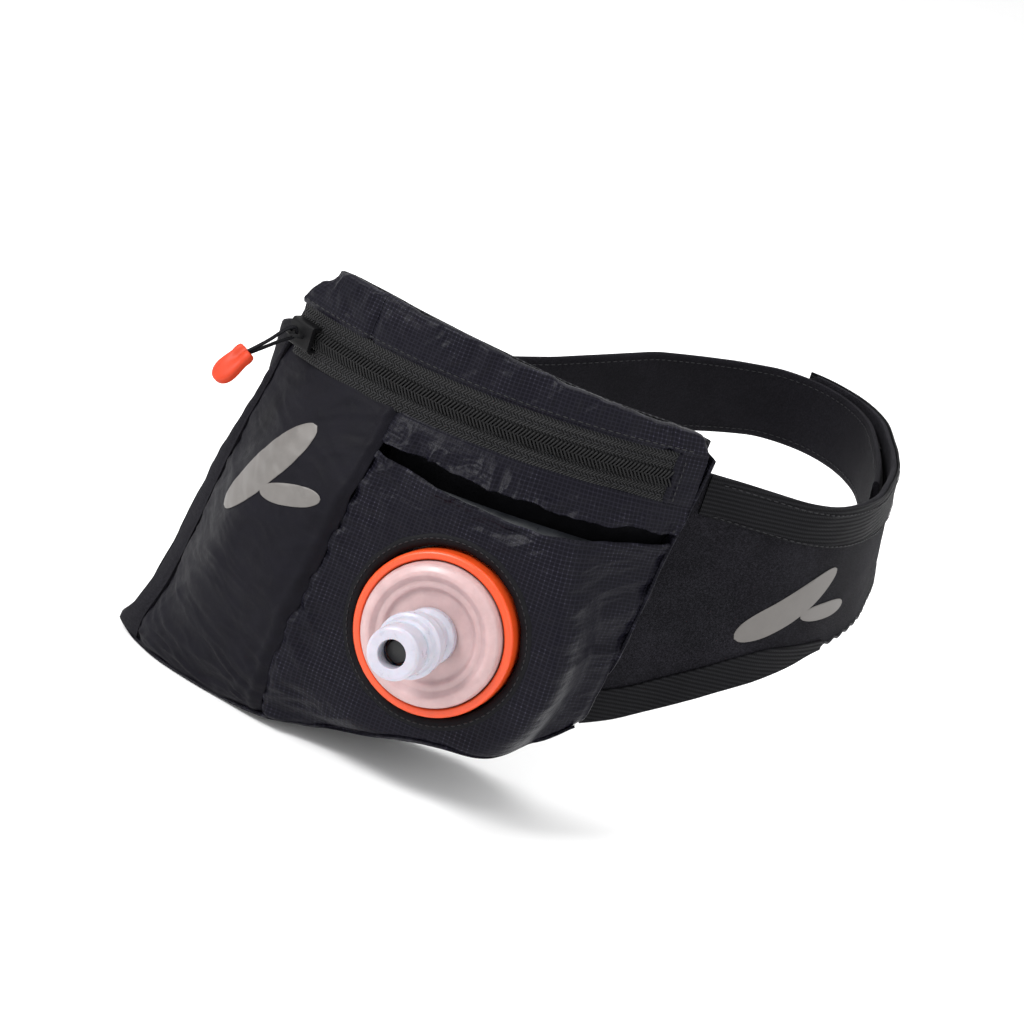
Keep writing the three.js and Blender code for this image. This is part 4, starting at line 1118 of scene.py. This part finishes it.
def add_grip(m):
    """Moulded grip: a tongue with a round end. Two prongs with a thin web between hold the cord's ends."""
    start, tip = by_slider(-9.0, 13.4, -10.4), by_slider(-12, 20.6, -21.5)
    along = unit(tip - start)
    side = unit(np.cross(along, by_slider(1, 0, 0) - by_slider(0, 0, 0)))
    width = np.cross(along, side)
    # Distance from the start, half the width, half the thickness.
    rows = [(-0.8, 2.9, 1.5), (-0.7, 3.7, 2.0), (0.2, 4.2, 2.3), (2, 4.3, 2.35), (3.2, 4.1, 2.1),
            (4.5, 4.3, 2.2), (7, 4.7, 2.3), (9.5, 4.9, 2.3), (11.6, 4.4, 2.2), (13.2, 3.2, 1.9),
            (14.1, 1.9, 1.4), (14.4, 0.8, 0.8)]
    run, wide, thick = np.array(rows).T[..., None]
    turn = once_round(44)
    across, over = (np.sign(wave) * np.abs(wave) ** 0.62 for wave in (np.cos(turn), np.sin(turn)))
    web = 1 - 0.62 * smooth((8 - run) / 5) * np.exp(-(across / 0.36) ** 2)
    rings = start + along * run[..., None] + width * (wide * across)[..., None]
    rings = rings + side * (thick * over * web)[..., None]
    uv = pairs(np.arange(len(rows))[:, None] * 1.0, turn[None] * 4)
    grip = loft("puller_tongue", rings, m["grip"], uv, body="puller", soft_angle=70)
    rounding = grip.modifiers.new("subdivision", "SUBSURF")
    rounding.levels = rounding.render_levels = 1
    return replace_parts(grip, "puller_grip")


# ---- Belt ----
def strip(name, start, end, low, high, inside, outside, material, across, up, body="pack", ripple=None):
    """Flat strip of the belt with round edges. `start` and `end` give path shares by height share."""
    half = (outside - inside) / 2
    v = np.concatenate([np.linspace(0, 1, up + 1), np.ones(3), np.linspace(1, 0, up + 1), np.zeros(3)])
    turn = np.array([math.pi / 4, math.pi / 2, 3 * math.pi / 4])
    out = np.concatenate([np.ones(up + 1), np.cos(turn), -np.ones(up + 1), -np.cos(turn)])
    over = np.concatenate([np.zeros(up + 1), np.sin(turn), np.zeros(up + 1), -np.sin(turn)])
    u = np.linspace(0, 1, across + 1)[:, None]
    s = mix(start(v)[None], end(v)[None], u)
    z = mix(low(s) + half, high(s) - half, v) + over * half
    away = (inside + outside) / 2 + half * out
    if ripple is not None:
        away = away + ripple(s, z)
    uv = pairs(s * BELT_LENGTH, z)
    return loft(name, on_belt(s, np.broadcast_to(away, s.shape), z), material, uv, body)


def table_at(rows):
    return lambda s: at(rows, s, 0.006)


def fixed(share):
    return lambda v: np.full_like(v, share)


def round_end(share, mm):
    """Path share of an end whose corners are drawn back by a length, or put forward if it is negative."""
    return lambda v: share - mm / BELT_LENGTH * (2 * v - 1) ** 4


def wing_root(v):
    z = mix(26, 128, v)
    return path_at_angle(at(RIGHT_EDGE, z) + arc_angle(FABRIC + 0.4), 0, 0.08)


def belt_root(v):
    z = mix(5, 124, v)
    return path_at_angle(at(LEFT_EDGE, z) - arc_angle(FABRIC + 2.3), 0.93, 1)


WING_OUTER = WING_INSIDE + NEOPRENE


def wing_ripple(s, z):
    """Soft waves of the wing's foam."""
    x = s * BELT_LENGTH
    return 0.45 * creases(x, z, 121, 60, 26, 12) * smooth((s - 0.01) / 0.04) * smooth((0.33 - s) / 0.03)


def belt_ripple(s, z):
    away_from_ends = smooth((0.95 - s) / 0.03) * smooth((s - 0.5) / 0.05)
    return 0.5 * creases(s * BELT_LENGTH, z, 131, 90, 22, 5) * away_from_ends


def bend_at_closure(piece):
    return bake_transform(piece)


def belt_stitches(name, s, outward, height, m, **sizes):
    """Stitches along the belt at a height, on its outer face or, if `outward` is negative, its inner."""
    way = math.copysign(1.0, outward)
    height = np.broadcast_to(height, s.shape)
    ripple = wing_ripple if way > 0 else belt_ripple
    facing = on_belt(s, way, height) - on_belt(s, 0.0, height)
    stitches(name, on_belt(s, outward + ripple(s, height), height), facing, m["thread"], **sizes)


def add_wing(m):
    top, bottom = table_at(WING_TOP), table_at(WING_BOTTOM)
    wing = strip("wing_foam", wing_root, round_end(WING_END, 9), bottom, top, WING_INSIDE, WING_OUTER,
                 m["knit"], 300, 44, body=None, ripple=wing_ripple)
    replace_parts(wing, "right_wing", "right_wing_tip")
    bend_at_closure(wing)
    inside, outside = WING_OUTER + 0.02, WING_OUTER + 0.95
    upper = strip("wing_top_elastic", fixed(0.037), fixed(0.475), lambda s: top(s) - 15,
                  lambda s: top(s) + 0.3, inside, outside, m["elastic"], 260, 24, body=None,
                  ripple=wing_ripple)
    bend_at_closure(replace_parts(upper, "wing_top_binding"))
    lower = strip("wing_bottom_elastic", lambda v: wing_root(0.1 * v) + 0.004, fixed(0.15),
                  lambda s: bottom(s) - 0.2, lambda s: bottom(s) + 13 - 9 * smooth((s - 0.1) / 0.05),
                  inside, outside, m["elastic"], 90, 24, ripple=wing_ripple)
    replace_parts(lower, "wing_bottom_binding")
    s = np.linspace(0.045, 0.335, 420)
    belt_stitches("wing_seam_stitches", s, WING_OUTER + 1.0, top(s) - 14.2, m, pitch=2.7)
    belt_stitches("wing_edge_stitches", s, WING_OUTER + 1.0, top(s) - 2.2, m, pitch=2.7)
    s = np.linspace(0.14, 0.33, 420)
    z = bottom(s) + 1.2 + 0.55 * np.sin(s * BELT_LENGTH / 1.1)
    tube("wing_overlock", on_belt(s, WING_OUTER + 0.1 + wing_ripple(s, z), z), 0.55, m["thread"], 6)


def add_left_belt(m):
    top, bottom = table_at(BELT_TOP), table_at(BELT_BOTTOM)
    belt = strip("belt_foam", round_end(BELT_START, -6), belt_root, bottom, top, BELT_OUTSIDE - NEOPRENE,
                 BELT_OUTSIDE, m["belt"], 330, 44, ripple=belt_ripple)
    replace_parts(belt, "left_belt")
    s = np.linspace(0.3, 0.96, 700)
    for name, height in (("belt_top_stitches", top(s) - 3.0), ("belt_bottom_stitches", bottom(s) + 3.0)):
        belt_stitches(name, s, BELT_OUTSIDE - NEOPRENE, height, m, pitch=2.9, long=1.9, radius=0.2)


def add_patches(m):
    """Loop pile on the wing's tip and hooks on the belt, each with its own fine grain."""
    for name, node, start, end, inside, outside, body, across, grain in (
            ("loop_pile", "loop_patch", WING_SPLIT + 0.012, WING_END - 0.016, 0.15, WING_INSIDE - 0.3,
             "closure_tab", 70, lambda s, z: 0.1 * gradient_noise(s * 900, z * 1.6, 141)),
            ("hook_pile", "hook_patch", BELT_START + 0.012, 0.44, BELT_OUTSIDE, -0.15, "pack",
             90, lambda s, z: 0.08 * gradient_noise(s * 1200, z * 2, 142))):
        patch = strip(name, fixed(start), fixed(end), lambda s: at(BELT_BOTTOM, s, 0.006) + 4,
                      lambda s: at(BELT_TOP, s, 0.006) - 4, inside, outside, m["hook"], across, 30, body,
                      grain)
        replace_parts(patch, node)


# ---- Flask ----
def rounded(profile, radius=0.5):
    """Profile of a turned part with its corners rounded. Its first and last points stay."""
    rows = [np.array(p, float) for p in profile]
    result = [rows[0]]
    for before, corner, after in zip(rows, rows[1:], rows[2:]):
        back, ahead = before - corner, after - corner
        cut = min(radius, 0.42 * np.linalg.norm(back), 0.42 * np.linalg.norm(ahead))
        a, b = (corner + way / max(np.linalg.norm(way), 1e-9) * cut for way in (back, ahead))
        result += [(1 - t) ** 2 * a + 2 * t * (1 - t) * corner + t * t * b for t in (0, 0.33, 0.67, 1)]
    result.append(rows[-1])
    return [tuple(float(x) for x in p) for p in result]


def add_flask(m):
    """Turned pieces: name, CAD node, material, body, radius of the corners, then a profile for `turned`."""
    parts = [
        ("ring_screw", "cap_ring", "ring", "cap", 0.7,
         [(21.5, -12.5), (27.7, -12.5), (28.5, -11.5), (28.5, -1), (27.7, 0), (25.8, 0), (25.4, -0.6),
          (25.4, -4.9), (21.5, -4.9), (21.5, -12.5)]),
        ("cap_lid", "cap_dome", "cap", "cap", 0.9,
         [(0, -4.6), (24.9, -4.6), (25, 0.5), (24.2, 3.2), (22, 4.5), (20.8, 4.6), (18.8, 3), (17.8, 3.1),
          (16.6, 2.9), (15.4, 1.5), (13.8, 1.3), (0, 1.5)]),
        ("stem_tube", "valve_stem", "valve", "cap", 0.4,
         [(6.5, 1.8), (9.8, 1.8), (9.8, 5), (8.2, 6.4), (8.2, 26), (6.5, 26), (6.5, 1.8)]),
        ("core_pin", "valve_core", "core", "cap", 0.4,
         [(0, 1.8), (6.2, 1.8), (6.2, 3.8), (4.4, 5), (4.4, 31.4), (3.8, 32.3), (0, 32.3)]),
        ("nozzle_sleeve", "valve_nozzle", "valve", "nozzle", 0.5,
         [(8.5, 14.5), (10.4, 14.5), (10.8, 17), (10.4, 20.4), (11.2, 21), (11.2, 22.6), (10, 23.4),
          (9.4, 26), (8.4, 27.2), (8.4, 28.6), (9.2, 29.4), (9, 37), (8.2, 38), (4.9, 38), (4.75, 37.4),
          (4.75, 32.2), (8.5, 31.6), (8.5, 14.5)]),
        ("gasket_ring", "cap_gasket", "core", "cap_seal", 0.4,
         [(16.5, -6.6), (20.8, -6.6), (20.8, -5.1), (16.5, -5.1), (16.5, -6.6)]),
        ("neck_tube", "flask_neck", "cap", "pack", 0.5,
         [(16.8, -13.6), (21, -13.6), (21, -6.9), (16.8, -6.9), (16.8, -13.6)]),
    ]
    for name, node, finish, body, radius, profile in parts:
        shape = rounded(profile, radius)
        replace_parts(turned(name, shape, m[finish], body), node)


def add_flask_bag(m):
    """Soft flask: a pillow of film, dimpled, inside the pocket."""
    u, v = grid(60, 50)
    z = mix(9, 97, v)
    angle = mix(np.maximum(1, at(PANEL_SEAM, z) + 3), at(RIGHT_EDGE, z) - 4.5 - 3 * (1 - v), u)
    z = np.maximum(z, at(FRONT_BOTTOM, angle) + 6 + 4 * (1 - v))
    full = (np.sin(math.pi * mix(0.04, 0.96, u)) * np.sin(math.pi * mix(0.05, 0.95, v))) ** 0.38
    back, face = divider_depth(angle, z) + 1.0, front_depth(angle, z) - FABRIC - 2.6
    by_cap = from_cap(polar(angle, face, z)) < 36
    face = np.where(by_cap, np.minimum(face, plane_depth(angle, z) - 9.5), face)
    middle = mix(back, face, 0.45)
    outer, inner = (polar(angle, mix(middle, side, full), z) for side in (face, back))
    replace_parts(shell("flask_film_bag", outer, inner, m["film"]), "flask_bag")


# ---- Reflective marks ----
def leaf(name, place, long, wide, slant, material, node=None, shift=(0, 0)):
    """Slanted leaf laid on a face; `place(along, up, lift)` gives a point."""
    u, v = grid(60, 14)
    t = 2 * u - 1
    half = wide / 2 * np.sqrt(np.maximum(0.0, 1 - np.abs(t) ** 2.4)) + 0.05
    along, across = t * long / 2, (2 * v - 1) * half
    a = along * math.cos(slant) - across * math.sin(slant) + shift[0]
    b = along * math.sin(slant) + across * math.cos(slant) + shift[1]
    piece = shell(name, place(a, b, 0.34), place(a, b, 0.05), material, np.stack([a, b], axis=-1))
    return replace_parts(piece, node) if node else piece


def on_side(along, up, lift):
    angle, z = -17 + arc_angle(along), 82 + up
    return polar(angle, front_depth(angle, z) + side_folds(angle, z) + lift, z)


def on_wing(along, up, lift):
    s, z = 0.118 + along / BELT_LENGTH, 86 + up
    return on_belt(s, WING_OUTER + wing_ripple(s, z) + lift, z)


def add_marks(m):
    leaf("side_leaf", on_side, 46, 12, math.radians(62), m["mark"], "side_mark", shift=(3, 0))
    leaf("side_leaf_small", on_side, 23, 7, math.radians(20), m["mark"], shift=(17, -3))
    leaf("wing_leaf", on_wing, 44, 11, math.radians(42), m["mark"], "wing_mark", shift=(-3, -1))
    leaf("wing_leaf_small", on_wing, 24, 6.5, math.radians(5), m["mark"], shift=(14, -3))


def finish_cad_nodes(m):
    """The slider and its bail are drawn by their CAD nodes."""
    for node in ("zip_slider", "slider_bail"):
        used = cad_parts[node].data.materials
        used.clear()
        used.append(m["slider"])


# ---- Making ----
add_camera()
plain_colours()
materials = make_materials()
add_puller(materials)
make_floor()
add_lights()
finish_cad_nodes(materials)
for make in (add_side_panel, add_pocket_panel, add_hole_binding, add_upper_band, add_bottom_gusset,
             add_left_end, add_right_end, add_back_panel, add_divider, add_collar, add_zip_tapes,
             add_zip_coils, add_zip_trim, add_wing, add_left_belt, add_patches, add_flask,
             add_flask_bag, add_marks):
    make(materials)
